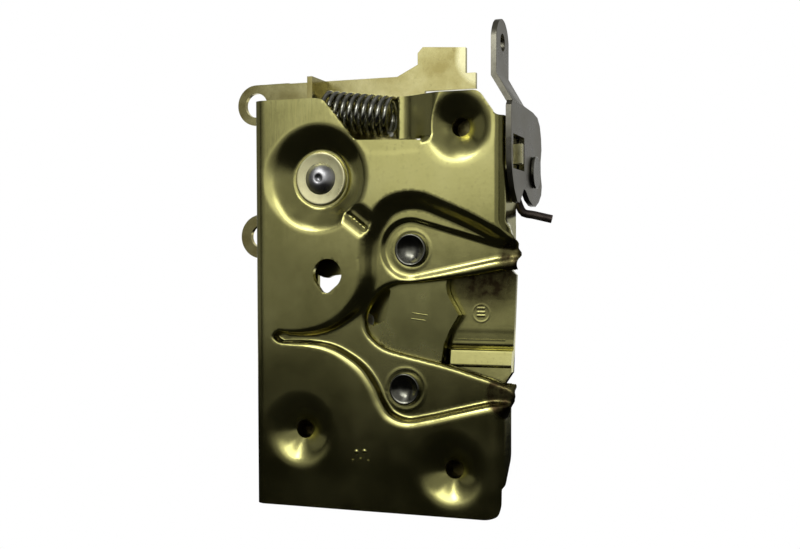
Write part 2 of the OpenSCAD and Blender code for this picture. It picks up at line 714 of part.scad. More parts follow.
module lock_lever() {
    at_striker() color([0.64, 0.58, 0.36]) difference() {
        plate(lock_y, lever_t) difference() {
            union() {
                hull() {
                    translate(lock_eyelet_c) circle(r = 6.3);
                    translate(lock_neck_c) circle(r = 4.5);
                }
                hull() {
                    translate(lock_neck_c) circle(r = 4.5);
                    translate(lever_c) circle(r = 7.5);
                }
                hull() {
                    translate(lever_c) circle(r = 6);
                    translate(lock_arm) circle(r = 3);
                }
            }
            translate(lock_eyelet_c) circle(r = lock_hole_r);
            translate(lock_arm) circle(r = 0.7);
        }
        bar_y(lever_c, lever_shank_r + run, 0, 40);
    }
}

module rear_clip() {
    at_striker() color([0.35, 0.35, 0.35]) difference() {
        bar_y(lever_c, 5.6, rear_y + 0.2, rear_y + 1.2);
        bar_y(lever_c, lever_shank_r, 0, 40);
        plate(rear_y - 1, 4) translate(lever_c + [0, 4]) square([3.2, 8], center = true);
    }
}

// Over-centre wire spring between the lock lever's arm and the rear plate
lock_arm = lever_c + [13, 9];
lock_anchor = lever_c + [26.4, 3.5];

module lock_spring() {
    mid = (lock_arm + lock_anchor) / 2;
    y0 = lock_y + lever_t + 0.6;
    at_striker() color([0.45, 0.45, 0.42]) wire([
        [lock_arm[0], lock_y + 0.3, lock_arm[1]], [lock_arm[0], y0, lock_arm[1]],
        [mid[0] - 2, y0 + 0.3, mid[1] - 3], [mid[0] + 2, y0 + 0.3, mid[1] - 4.6],
        [mid[0] + 3.4, y0 + 0.3, mid[1] - 2], [lock_anchor[0], y0, lock_anchor[1]],
        [lock_anchor[0], plate_y + 0.4, lock_anchor[1]]], 0.5, 6);
}

// Side lever: outline of its body as [y, z], with z from the side pivot
side_x = case_w + gap;
side_t = 1.5;
side_body = [
    [1.5, 15.5], [3, 16.9], [13, 16.9], [26, 16.5], [32, 15.7], [35, 13.7], [36.6, 10.5], [37.2, 7.1],
    [36, 3.7], [36.2, 0.1], [37.6, -3.1], [36.8, -5.7], [33.6, -7.9], [29.5, -9.3], [26.6, -9.1],
    [22, -7.9], [17.6, -5.5], [15.4, -5.2], [13, -7.5], [10.6, -9.1], [8.2, -8.9], [5, -5.9], [3, -2.5],
    [1.5, 1.5]];
side_arm_shift = 4.3;
side_wire_r = 1.1;

module side_lever() {
    at_striker() color([0.62, 0.62, 0.56]) translate([0, 0, side_c[1]]) difference() {
        union() {
            side_plate(side_x, side_t) polygon(side_body);
            difference() {
                translate([0, 16, 0]) rotate([90, 0, 0]) linear_extrude(13) polygon([
                    [side_x, 16], [side_x + side_t, 16], [side_x + side_t, 16.7],
                    [side_x + side_t - side_arm_shift, 24.1], [side_x + side_t - side_arm_shift, 39.1],
                    [side_x - side_arm_shift, 39.1], [side_x - side_arm_shift, 23.5], [side_x, 16.3]]);
                side_plate(side_x - 8, 16) difference() {
                    translate([0, 25.5]) square([20, 20]);
                    translate([9.5, 32.4]) circle(r = 6.6);
                    translate([2.9, 19.5]) square([13.2, 12.9]);
                }
            }
        }
        side_plate(side_x - 8, 16) translate([9.5, 32.9]) circle(r = side_hole_r);
        side_plate(side_x - 1, 4) translate([3.6, -0.5]) square([12.4, 8.9]);
        side_plate(side_x - 1, 4) translate([side_c[0], 0]) circle(r = side_shank_r + run);
    }
}

module side_pivot() {
    at_striker() color([0.5, 0.5, 0.5]) translate([0, side_c[0], side_c[1]]) rotate([0, 90, 0]) {
        translate([0, 0, case_w - sheet_t - 4.4])
            cylinder(r = side_shank_r, h = sheet_t + 4.4 + gap + side_t + 0.2);
        translate([0, 0, side_x + side_t + 0.1]) cylinder(r = 4.4, h = 0.9);
    }
}

// Spring round the inner end of the side pivot, with a leg bent out under the lever
module side_spring() {
    x0 = case_w - sheet_t - side_wire_r - 0.1;
    z0 = side_c[1];
    coil = side_shank_r + side_wire_r + 0.2;
    at_striker() color([0.22, 0.19, 0.17]) wire(concat(
        [for (i = [0 : 30]) let (a = 530 - 20 * i)
            [x0 - 2.6 * (1 - i / 30), side_c[0] + coil * cos(a), side_c[1] + coil * sin(a)]],
        [[x0, 23.2, z0 - 4.4], [x0 + 0.1, 21.4, z0 - 4.9], [x0 + 0.9, 19.2, z0 - 5.7],
            [x0 + 2, 17.8, z0 - 7.5], [case_w + 0.2, 17.1, z0 - 9.7], [case_w + 1.4, 17, z0 - 11.5],
            [case_w + 3.8, 17.3, z0 - 12], [case_w + 8.8, 18, z0 - 13.2]]), side_wire_r, 8);
}

face_case();
back_plate();
claw();
claw_rivet();
claw_washer();
claw_spring();
claw_bumper();
pawl();
pawl_rivet();
pawl_pin();
release_link();
link_guide();
release_lever();
release_pin();
release_sleeve();
tab_lever();
release_spring();
lever_rivet();
pivot_washer();
lever_spacer();
lock_lever();
lock_spring();
rear_clip();
side_lever();
side_pivot();
side_spring();
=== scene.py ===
import json
import math

import bmesh
import bpy
import numpy as np
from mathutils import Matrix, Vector, geometry, kdtree


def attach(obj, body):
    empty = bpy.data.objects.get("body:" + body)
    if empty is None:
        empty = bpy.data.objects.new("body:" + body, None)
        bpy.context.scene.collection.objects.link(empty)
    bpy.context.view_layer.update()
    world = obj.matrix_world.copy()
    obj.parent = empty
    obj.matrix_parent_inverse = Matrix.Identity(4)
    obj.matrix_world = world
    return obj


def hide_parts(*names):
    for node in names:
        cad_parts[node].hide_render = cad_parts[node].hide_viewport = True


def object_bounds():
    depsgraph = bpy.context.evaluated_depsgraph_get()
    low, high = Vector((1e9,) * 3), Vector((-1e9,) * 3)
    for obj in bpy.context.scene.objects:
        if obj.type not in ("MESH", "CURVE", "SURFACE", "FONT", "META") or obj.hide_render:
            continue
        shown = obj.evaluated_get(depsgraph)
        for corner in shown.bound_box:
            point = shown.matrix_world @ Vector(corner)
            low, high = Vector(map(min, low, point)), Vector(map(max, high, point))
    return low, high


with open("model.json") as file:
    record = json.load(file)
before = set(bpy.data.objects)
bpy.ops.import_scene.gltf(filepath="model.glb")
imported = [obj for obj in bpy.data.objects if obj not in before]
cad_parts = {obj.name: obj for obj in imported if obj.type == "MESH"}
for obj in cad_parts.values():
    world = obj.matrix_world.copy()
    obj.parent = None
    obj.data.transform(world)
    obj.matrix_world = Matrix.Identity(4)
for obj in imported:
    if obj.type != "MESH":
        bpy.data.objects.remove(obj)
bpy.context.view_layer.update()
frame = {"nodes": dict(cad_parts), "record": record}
print("stage: frame loaded")

mm = 0.001
scene = bpy.context.scene
scene.view_settings.view_transform = "Standard"

# Lower left corner of the face plate, as it lies in the frame
cornerX, cornerZ = -42.7, -50.0


def toFrame(x, y, z):
    return Vector(((x + cornerX) * mm, y * mm, (z + cornerZ) * mm))


# New node with its settings; each input takes a value, or a link where an output is given
def addNode(tree, kind, inputs=None, **settings):
    node = tree.nodes.new(kind)
    for name, value in settings.items():
        setattr(node, name, value)
    for place, value in (inputs or {}).items():
        if hasattr(value, "is_output"):
            tree.links.new(value, node.inputs[place])
        else:
            node.inputs[place].default_value = value
    return node


def newMaterial(name):
    material = bpy.data.materials.new(name)
    material.use_nodes = True
    material.node_tree.nodes.clear()
    return material, material.node_tree


def noiseNode(tree, coords, scale, detail=4.0, roughness=0.55, stretch=None):
    if stretch:
        coords = addNode(tree, "ShaderNodeMapping", {"Vector": coords, "Scale": stretch}).outputs["Vector"]
    return addNode(tree, "ShaderNodeTexNoise", {
        "Vector": coords, "Scale": scale, "Detail": detail, "Roughness": roughness}).outputs["Fac"]


def rampNode(tree, value, stops):
    ramp = addNode(tree, "ShaderNodeValToRGB", {"Fac": value})
    elements = ramp.color_ramp.elements
    while len(elements) < len(stops):
        elements.new(0.5)
    for element, (place, color) in zip(elements, stops):
        element.position = place
        element.color = (*color, 1.0)
    return ramp.outputs["Color"]


def rangeNode(tree, value, low, high, start, end, **settings):
    return addNode(tree, "ShaderNodeMapRange", {
        "Value": value, "From Min": start, "From Max": end, "To Min": low, "To Max": high},
        **settings).outputs["Result"]


def toneNode(tree, factor, color, tone):
    return addNode(tree, "ShaderNodeMix", {0: factor, 6: color, 7: (*tone, 1.0)}, data_type="RGBA").outputs[2]


def joinValues(tree, kind, first, second):
    return addNode(tree, "ShaderNodeMath", {0: first, 1: second}, operation=kind).outputs[0]


def splitVector(tree, vector):
    return addNode(tree, "ShaderNodeSeparateXYZ", {0: vector}).outputs


# How near a point is to some places: 1 within the first radius, 0 beyond the second
def spotMask(tree, coords, spots):
    total = None
    for place, inner, outer in spots:
        away = addNode(tree, "ShaderNodeVectorMath", {0: coords, 1: toFrame(*place)}, operation="DISTANCE")
        near = rangeNode(tree, away.outputs["Value"], 1.0, 0.0, inner * mm, outer * mm)
        total = joinValues(tree, "MAXIMUM", total, near) if total else near
    return total


# What the metals share; each one changes what it needs
metalValues = {
    "grimeTone": (0.2, 0.17, 0.07), "grime": 0.4, "metallic": 1.0, "patchScale": 200.0,
    "speckleScale": 1200.0, "scratchScale": 900.0, "scratchStretch": (1.0, 1.0, 0.4), "bump": 0.1,
    "mottleScale": 420.0, "mottleLow": 0.75, "paintedLightRough": 0.12, "paintedLightFade": 0.6, "steepShadeStrength": 0.8}


# Plated or bare steel: tones in soft patches, fine speckle, scratches, painted light and shade in given spots
# and a slight grain
def metalMaterial(name, changes):
    v = {**metalValues, **changes}
    material, tree = newMaterial(name)
    coords = addNode(tree, "ShaderNodeTexCoord").outputs["Object"]
    patches = noiseNode(tree, coords, v["patchScale"], 5.0, 0.6)
    speckle = noiseNode(tree, coords, v["speckleScale"], 3.0, 0.7)
    scratches = noiseNode(tree, coords, v["scratchScale"], 2.0, 0.5, v["scratchStretch"])
    color = rampNode(tree, patches, list(zip((0.34, 0.5, 0.68), v["tones"])))
    color = toneNode(tree, rangeNode(tree, speckle, 0.0, v["grime"], 0.56, 0.78), color, v["grimeTone"])
    rough = rangeNode(tree, patches, *v["rough"], 0.35, 0.65)
    # Painted light in given spots, only in front of a set depth: painted shade on the case, painted
    # highlights on the levers, broken up by noise
    if "paintedLightSpots" in v:
        ahead = rangeNode(tree, splitVector(tree, coords)["Y"], 1.0, 0.0, v["paintedLightRear"] * mm,
                          (v["paintedLightRear"] + v["paintedLightFade"]) * mm)
        paintedLightMask = joinValues(tree, "MULTIPLY", spotMask(tree, coords, v["paintedLightSpots"]), ahead)
        mottle = rangeNode(tree, noiseNode(tree, coords, v["mottleScale"]), v["mottleLow"], 1.0, 0.4, 0.6)
        paintedLightMask = joinValues(tree, "MULTIPLY", paintedLightMask, mottle)
        color = toneNode(tree, paintedLightMask, color, v["paintedLightTone"])
        rough = joinValues(tree, "ADD", rough, rangeNode(tree, paintedLightMask, 0.0, v["paintedLightRough"], 0.0, 1.0))
    # Painted shade on the steep run of the walls, in given spots, where the surface turns away from the front
    if "steepShadeSpots" in v:
        facing = splitVector(tree, addNode(tree, "ShaderNodeNewGeometry").outputs["Normal"])["Y"]
        steep = joinValues(tree, "MULTIPLY", spotMask(tree, coords, v["steepShadeSpots"]),
                           rangeNode(tree, facing, 0.0, v["steepShadeStrength"], -0.66, -0.46))
        color = toneNode(tree, joinValues(tree, "MULTIPLY", steep, ahead), color, v["paintedLightTone"])
    grain = joinValues(tree, "ADD", rangeNode(tree, scratches, 0.0, 0.6, 0.4, 0.6),
                       rangeNode(tree, speckle, 0.0, 0.4, 0.3, 0.7))
    bump = addNode(tree, "ShaderNodeBump", {"Strength": v["bump"], "Distance": 0.1 * mm, "Height": grain})
    shader = addNode(tree, "ShaderNodeBsdfPrincipled", {
        "Base Color": color, "Metallic": v["metallic"], "Roughness": rough, "Normal": bump.outputs["Normal"]})
    addNode(tree, "ShaderNodeOutputMaterial", {"Surface": shader.outputs["BSDF"]})
    return material


# Painted shade: dark spots in the three fixing holes and on the back plate seen in the mouth, and on the
# steep run of the recess walls; the two folded noses are darker too
zincCase = metalMaterial("zinc_case", {
    "tones": [(0.48, 0.455, 0.165), (0.56, 0.53, 0.2), (0.63, 0.6, 0.24)], "grime": 0.35,
    "rough": (0.15, 0.24), "patchScale": 60.0, "speckleScale": 900.0, "scratchScale": 700.0,
    "scratchStretch": (1.0, 1.0, 0.12), "bump": 0.05, "paintedLightTone": (0.06, 0.042, 0.018), "paintedLightRear": 9.9,
    "paintedLightSpots": [((72.8, 3.5, 67.2), 4.6, 6.4), ((70.4, 3.0, 31.8), 6.0, 7.0),
                  ((57.0, 8.5, 101.0), 4.6, 5.6), ((12.8, 8.5, 20.4), 4.6, 5.6),
                  ((55.3, 8.5, 11.9), 4.6, 5.6), ((62.0, 30.0, 64.5), 21.8, 24.3)],
    "steepShadeSpots": [((46.0, 0.0, 32.0), 19.0, 20.5), ((18.0, 0.0, 46.0), 14.0, 16.0)]})
# Painted highlights: pale spots on the release lever's upright tab, on the pivot washer and on the tab seen
# in the side lever's slot
zincLever = metalMaterial("zinc_lever", {
    "tones": [(0.42, 0.36, 0.13), (0.54, 0.49, 0.21), (0.66, 0.61, 0.3)], "grimeTone": (0.2, 0.15, 0.06),
    "grime": 0.35, "rough": (0.16, 0.26), "patchScale": 90.0, "speckleScale": 900.0, "scratchScale": 600.0,
    "scratchStretch": (0.5, 1.0, 1.0), "bump": 0.05, "paintedLightTone": (0.9, 0.86, 0.5), "paintedLightRear": 30.0,
    "paintedLightSpots": [((60.8, 13.0, 121.0), 7.0, 8.6), ((17.6, 3.0, 88.5), 8.0, 9.0),
                  ((71.5, 8.7, 94.0), 3.6, 5.0)]})
clawSteel = metalMaterial("claw_steel", {
    "tones": [(0.43, 0.41, 0.16), (0.5, 0.48, 0.19), (0.58, 0.55, 0.23)], "grime": 0.25, "rough": (0.22, 0.3),
    "patchScale": 60.0, "speckleScale": 1100.0, "scratchScale": 500.0, "scratchStretch": (1.0, 1.0, 0.3),
    "bump": 0.05})
rivetSteel = metalMaterial("rivet_steel", {
    "tones": [(0.15, 0.15, 0.115), (0.24, 0.24, 0.19), (0.34, 0.335, 0.28)], "grimeTone": (0.05, 0.045, 0.03),
    "grime": 0.5, "rough": (0.14, 0.28), "speckleScale": 1400.0, "bump": 0.12})
brightSteel = metalMaterial("bright_steel", {
    "tones": [(0.42, 0.42, 0.43), (0.55, 0.55, 0.55), (0.68, 0.68, 0.66)], "grimeTone": (0.25, 0.24, 0.22),
    "rough": (0.25, 0.4), "patchScale": 180.0})
springSteel = metalMaterial("spring_steel", {
    "tones": [(0.36, 0.36, 0.29), (0.52, 0.52, 0.44), (0.66, 0.66, 0.58)], "grimeTone": (0.1, 0.09, 0.06),
    "rough": (0.09, 0.17), "patchScale": 260.0, "speckleScale": 1500.0, "bump": 0.08})
greySteel = metalMaterial("grey_steel", {
    "tones": [(0.18, 0.172, 0.13), (0.25, 0.24, 0.185), (0.32, 0.305, 0.24)], "grimeTone": (0.12, 0.09, 0.05),
    "grime": 0.45, "rough": (0.24, 0.4), "patchScale": 100.0, "speckleScale": 1000.0, "scratchScale": 500.0,
    "scratchStretch": (1.0, 0.25, 1.0), "bump": 0.14})
darkWire = metalMaterial("dark_wire", {
    "tones": [(0.045, 0.035, 0.03), (0.08, 0.065, 0.055), (0.16, 0.13, 0.11)],
    "grimeTone": (0.04, 0.03, 0.02), "grime": 0.5, "metallic": 0.9, "rough": (0.34, 0.5),
    "scratchScale": 700.0, "bump": 0.15})
blackRubber = metalMaterial("black_rubber", {
    "tones": [(0.02, 0.02, 0.02), (0.03, 0.03, 0.03), (0.045, 0.045, 0.045)], "grimeTone": (0.08, 0.08, 0.07),
    "grime": 0.3, "metallic": 0.0, "rough": (0.6, 0.8), "speckleScale": 1400.0,
    "scratchStretch": (1.0, 1.0, 1.0)})
slotMaterials = {
    "zinc_case": zincCase, "zinc_lever": zincLever, "claw_steel": clawSteel, "rivet_steel": rivetSteel,
    "bright_steel": brightSteel, "spring_steel": springSteel, "grey_steel": greySteel,
    "dark_wire": darkWire, "black_rubber": blackRubber}

for part in frame["record"]["subparts"]:
    node = frame["nodes"][part["node"]]
    node.data.materials.clear()
    node.data.materials.append(slotMaterials[part["material_slot"]])
print("stage: materials done")


# Numbers of the pressed case, in mm, measured from the lower left corner of its face
caseValues = {
    "width": 69.2, "height": 110.0, "sheet": 1.5, "bend": 3.0, "recess": 3.0, "pocket": 0.8,
    "pointSpacing": 0.5, "edgeSpacing": 0.55, "lip": 0.9, "lipWidth": 1.3, "ripple": 0.03,
    "edgeRound": 0.22, "edgeSteps": 2, "leanTop": 1.4, "leanLow": 0.55, "busySlope": 0.03,
    "folds": [(67.8, 8.6, 3.5), (32.4, 6.4, 2.4)], "dish": 3.6, "dishRadius": 13.9, "dishSoft": 1.5,
    "dishSlope": 0.62, "dimpleSlope": 0.3, "dimpleBowl": 0.034, "dimpleRadius": 9.3, "dimpleSoft": 1.7,
    "notchStep": 0.06, "ear": 5.2, "earFrom": 40.4, "earRun": 12.6, "earEnd": 39.6, "earTurn": 1.2,
    "earBack": 6.7, "dentAt": (28.8, 76.7), "dentTurn": (0.793, 0.61), "dent": 1.2, "crease": 0.55,
    "rowSpacing": 0.4,
    "wallRows": (0.0, 0.12, 0.25, 0.38, 0.52, 0.6, 0.66, 0.72, 0.8, 0.86, 0.92, 1.0),
    "pocketRows": (-0.6, -0.2, 0.2, 0.6, 1.0, 1.5, 2.0)}
clawCentre = (43.4, 69.1)
pawlCentre = (42.0, 32.4)
leverCentre = (17.6, 88.5)
fixingHoles = [(57.0, 101.0), (12.8, 20.4), (55.3, 11.9)]

# Line round the recess: across, up, width of its sloped wall
recessPoints = [
    (78, 70.9, 4.2), (67.8, 74.9, 4.2), (60.5, 78.7, 4.4), (53.5, 81.9, 4.6), (47.5, 84.3, 4.8),
    (41.5, 84.5, 4.8), (36.0, 82.4, 4.8), (32.4, 78.2, 4.8), (30.2, 73.5, 4.9), (29.3, 68, 5.0),
    (29.2, 62, 5.0), (27.9, 56.8, 4.4), (24.4, 52.8, 3.5), (20.0, 49.8, 2.8), (15, 48.1, 2.1),
    (9.5, 47.5, 1.5), (6.3, 47.4, 0.9), (4.7, 45.6, 0.7), (6.4, 43.8, 0.9), (9.8, 43.3, 1.4),
    (15.4, 42.9, 1.9), (20.8, 41.7, 2.4), (25.2, 39.4, 2.8), (29.1, 36.3, 3.2), (32, 32.4, 3.3),
    (34.3, 27.7, 3.3), (37.3, 24, 3.2), (42.6, 22.3, 3), (49, 23.3, 3), (57, 25.3, 3),
    (66, 27.5, 3), (78, 30, 3)]
# Line round the mouth, from its upper right to its lower right
mouthPoints = [
    (80, 66), (68.4, 63.8), (56.9, 61.7), (46, 60.4), (39, 59.8), (35, 58.1), (32.2, 55),
    (30.5, 51.4), (30.7, 48.1), (32.8, 45.2), (36.2, 43), (40.9, 41.7), (46.5, 40.5), (52, 39.3),
    (57, 38), (65, 35.7), (80, 32)]
# Rounding radius of each corner comes third
sheetOutline = [
    (-1.7, 0, 0), (65.2, 0, 1.5), (67.9, 1.0, 1), (68.9, 3.6, 1), (69.0, 8.0, 0.5), (70.9, 9, 1),
    (76.7, 15, 1.5), (76.7, 33, 1.2), (77.2, 34.4, 0.4)]
sheetOutlineUpper = [
    (81.9, 64.1, 0.6), (81.9, 79, 0.8), (82.5, 86, 1), (88.5, 87.6, 1), (90.5, 84.4, 0.8),
    (100.9, 85, 1.5), (101.9, 88.4, 1), (101.9, 98, 3), (96.9, 102.6, 3), (83.9, 103.4, 2),
    (67.2, 103.4, 1.2), (62.6, 110, 1.5), (32.1, 110, 0.6), (32.1, 98.9, 0.6), (40.2, 98.8, 1.5),
    (47.1, 98.3, 0.2), (47.1, 97.7, 0.2), (40, 98, 2), (28.6, 98.3, 1.2), (19.6, 109.4, 1), (17.6, 110, 1),
    (-1.6, 110, 0.2), (-2.1, 108, 1), (-10.7, 101, 2.5), (-10.7, 7, 2.5), (-2.1, 1, 1)]


def smoothStep(t):
    t = np.clip(t, 0.0, 1.0)
    return t * t * (3.0 - 2.0 * t)


# Smooth closed curve through points, with every number of a point blended
def smoothLoop(points, steps):
    p = np.array(points, float)
    before, after, far = np.roll(p, 1, 0), np.roll(p, -1, 0), np.roll(p, -2, 0)
    rows = []
    for t in np.arange(steps) / steps:
        rows.append(0.5 * (2 * p + (after - before) * t + (2 * before - 5 * p + 4 * after - far) * t * t
                           + (3 * p - before - 3 * after + far) * t ** 3))
    return np.stack(rows, axis=1).reshape(-1, p.shape[1])


# Straight-sided loop with rounded corners
def roundedLoop(corners, steps=5):
    p = np.array(corners, float)
    result = []
    for i in range(len(p)):
        here, radius = p[i, :2], p[i, 2]
        back, ahead = p[i - 1, :2] - here, p[(i + 1) % len(p), :2] - here
        lengthBack, lengthAhead = np.hypot(*back), np.hypot(*ahead)
        cut = min(radius, 0.45 * lengthBack, 0.45 * lengthAhead)
        if cut < 0.02:
            result.append(here)
            continue
        start, end = here + back / lengthBack * cut, here + ahead / lengthAhead * cut
        for k in range(steps + 1):
            t = k / steps
            result.append((1 - t) ** 2 * start + 2 * t * (1 - t) * here + t * t * end)
    return np.array(result)


# The same loop with no stretch longer than the spacing
def spacedLoop(loop, spacing):
    rows = []
    for i in range(len(loop)):
        a, b = loop[i], loop[(i + 1) % len(loop)]
        length = float(np.hypot(*(b - a)[:2]))
        if length < 1e-4:
            continue
        count = max(1, int(math.ceil(length / spacing)))
        for k in range(count):
            rows.append(a + (b - a) * k / count)
    return np.array(rows)


# Outline of two circles with a band stretched round them
def bandLoop(first, firstRadius, second, secondRadius, steps=72):
    rows = []
    for k in range(steps):
        way = np.array([math.cos(2 * math.pi * k / steps), math.sin(2 * math.pi * k / steps)])
        a, b = np.array(first) + firstRadius * way, np.array(second) + secondRadius * way
        rows.append(a if a @ way > b @ way else b)
    rows = np.array(rows)
    keep = np.hypot(*(rows - np.roll(rows, 1, 0)).T) > 1e-4
    return rows[keep]


def circleLoop(centre, radius, steps=40):
    a = np.arange(steps) * 2 * math.pi / steps
    return np.stack([centre[0] + radius * np.cos(a), centre[1] + radius * np.sin(a)], 1)


# For each point: distance to a closed loop, whether it is inside, and the loop's third number there
def nearLoop(points, loop):
    a = loop[:, :2]
    b = np.roll(a, -1, 0)
    step = b - a
    length2 = np.maximum((step ** 2).sum(1), 1e-12)
    third = loop[:, 2] if loop.shape[1] > 2 else np.zeros(len(loop))
    thirdNext = np.roll(third, -1)
    distance, inside, value = np.empty(len(points)), np.empty(len(points), bool), np.empty(len(points))
    for start in range(0, len(points), 4000):
        p = points[start:start + 4000]
        rel = p[:, None, :] - a[None]
        t = np.clip((rel * step).sum(2) / length2, 0.0, 1.0)
        gap = ((rel - t[..., None] * step) ** 2).sum(2)
        best = gap.argmin(1)
        rows = np.arange(len(p))
        distance[start:start + 4000] = np.sqrt(gap[rows, best])
        share = t[rows, best]
        value[start:start + 4000] = third[best] * (1 - share) + thirdNext[best] * share
        high = p[:, 1:2]
        crossing = (a[:, 1] > high) != (b[:, 1] > high)
        rise = np.where(np.abs(step[:, 1]) < 1e-12, 1e-12, step[:, 1])
        where = a[:, 0] + step[:, 0] * (high - a[:, 1]) / rise
        inside[start:start + 4000] = (crossing & (p[:, 0:1] < where)).sum(1) % 2 == 1
    return distance, inside, value


recessLoop = smoothLoop(recessPoints, 8)
mouthLoop = smoothLoop(mouthPoints, 8)
pocketLoop = bandLoop((clawCentre[0] - 0.2, clawCentre[1] + 0.1), 8.1, (70.2, 68.2), 1.5)
# Slope across a wall of depth and width 1: a soft rim, a steep run and a short foot
wallSlope = np.array([(0.0, 0.0), (0.25, 0.35), (0.52, 0.42), (0.6, 3.3), (0.72, 3.3), (0.8, 0.5),
                      (0.92, 0.35), (1.0, 0.0)])
notchStepLoop = np.array([(26.8, 100.5), (28.6, 98.3), (32.3, 94.2), (40.0, 94.0), (46.9, 94.6), (47.6, 97.0),
                          (47.6, 99.5)])


def onEar(across, up):
    return (up > np.where(across > 39.9, 98.12, 98.7)) & (across < 47.2) & (across > 30.0)


# From 0 at a wall's rim to 1 at its foot
def wallStep(t):
    way = np.linspace(0.0, 1.0, 101)
    rise = np.cumsum(np.interp(way, wallSlope[:, 0], wallSlope[:, 1]))
    return np.interp(t, way, (rise - rise[0]) / (rise[-1] - rise[0]))


# A cone's depth at a distance inside its rim, with the rim rounded over some width
def softCone(inward, soft, slope):
    return slope * np.where(inward > soft, inward, np.clip(inward + soft, 0.0, None) ** 2 / (4 * soft))


# How far the face is pressed in at each place
def pressedDepth(across, up):
    v = caseValues
    points = np.stack([across, up], 1)
    distance, inside, wall = nearLoop(points, recessLoop)
    into = np.where(inside, distance, 0.0) / np.maximum(wall * 1.05, 0.4)
    broad = smoothStep((wall - 3.4) / 0.9)
    depth = v["recess"] * (wallStep(into) * (1.0 - broad) + smoothStep(into) * broad)
    distance, inside, _ = nearLoop(points, pocketLoop)
    signed = np.where(inside, distance, -distance)
    lower = np.clip((clawCentre[1] - up) / 8.0, -1.0, 1.0)
    depth += (v["pocket"] * smoothStep((signed + 0.4 + 0.3 * lower) / (1.6 + 0.8 * lower))
              * smoothStep(depth / v["recess"]))
    # Stamped rings round the two rivets
    for centre, radius, height in ((clawCentre, 5.1, 0.1), (pawlCentre, 5.4, 0.14)):
        away = np.hypot(across - centre[0], up - centre[1]) - radius
        depth -= height * np.exp(-(away / 0.32) ** 2)
    distance, inside, _ = nearLoop(points, mouthLoop)
    near = np.clip((v["lipWidth"] - np.where(inside, 0.0, distance)) / v["lipWidth"], 0.0, 1.0)
    depth += v["lip"] * (1.0 - np.sqrt(1.0 - near ** 2))
    radius = np.hypot(across - leverCentre[0], up - leverCentre[1])
    cone = softCone(v["dishRadius"] - radius, v["dishSoft"], v["dishSlope"])
    depth = np.maximum(depth, np.minimum(cone, v["dish"]))
    for hole in fixingHoles:
        inward = v["dimpleRadius"] - np.hypot(across - hole[0], up - hole[1])
        bowl = v["dimpleBowl"] * np.clip(inward, 0.0, None) ** 2
        depth = np.maximum(depth, softCone(inward, v["dimpleSoft"], v["dimpleSlope"]) + bowl)
    # Dent and crease between the dish and the recess
    right, above = across - v["dentAt"][0], up - v["dentAt"][1]
    cosine, sine = v["dentTurn"]
    along, aside = right * cosine - above * sine, right * sine + above * cosine
    dent = v["dent"] * smoothStep((aside + 3.2) / 3.6) * (1 - smoothStep((aside - 1.5) / 4.0))
    dent *= 1 - smoothStep((np.abs(along) - 2.5) / 3.5)
    crease = v["crease"] * np.exp(-(aside / 0.5) ** 2) * (1 - smoothStep((np.abs(along) - 3.0) / 1.2))
    depth = np.maximum(depth, dent) + crease
    # Low step below the notch, and the ear that runs out into the face
    distance, inside, _ = nearLoop(points, notchStepLoop)
    depth += v["notchStep"] * smoothStep(np.where(inside, distance, 0.0) / 1.1)
    ear = v["ear"] * (1.0 - smoothStep((across - v["earFrom"]) / v["earRun"]))
    runOut = smoothStep((across - 44.5) / 2.7)
    ear = ear * (1.0 - runOut * (1.0 - smoothStep((up - 96.6) / 2.8)))
    depth = np.where(onEar(across, up), ear, np.where(across >= 47.2, np.maximum(depth, ear), depth))
    ripple = np.sin(across * 0.19 + 1.3 * np.sin(up * 0.11)) + np.sin(up * 0.23 + 0.7 * np.sin(across * 0.14))
    return depth + v["ripple"] * ripple * smoothStep((2.0 - np.abs(depth)) / 2.0) + v["ripple"] * 2


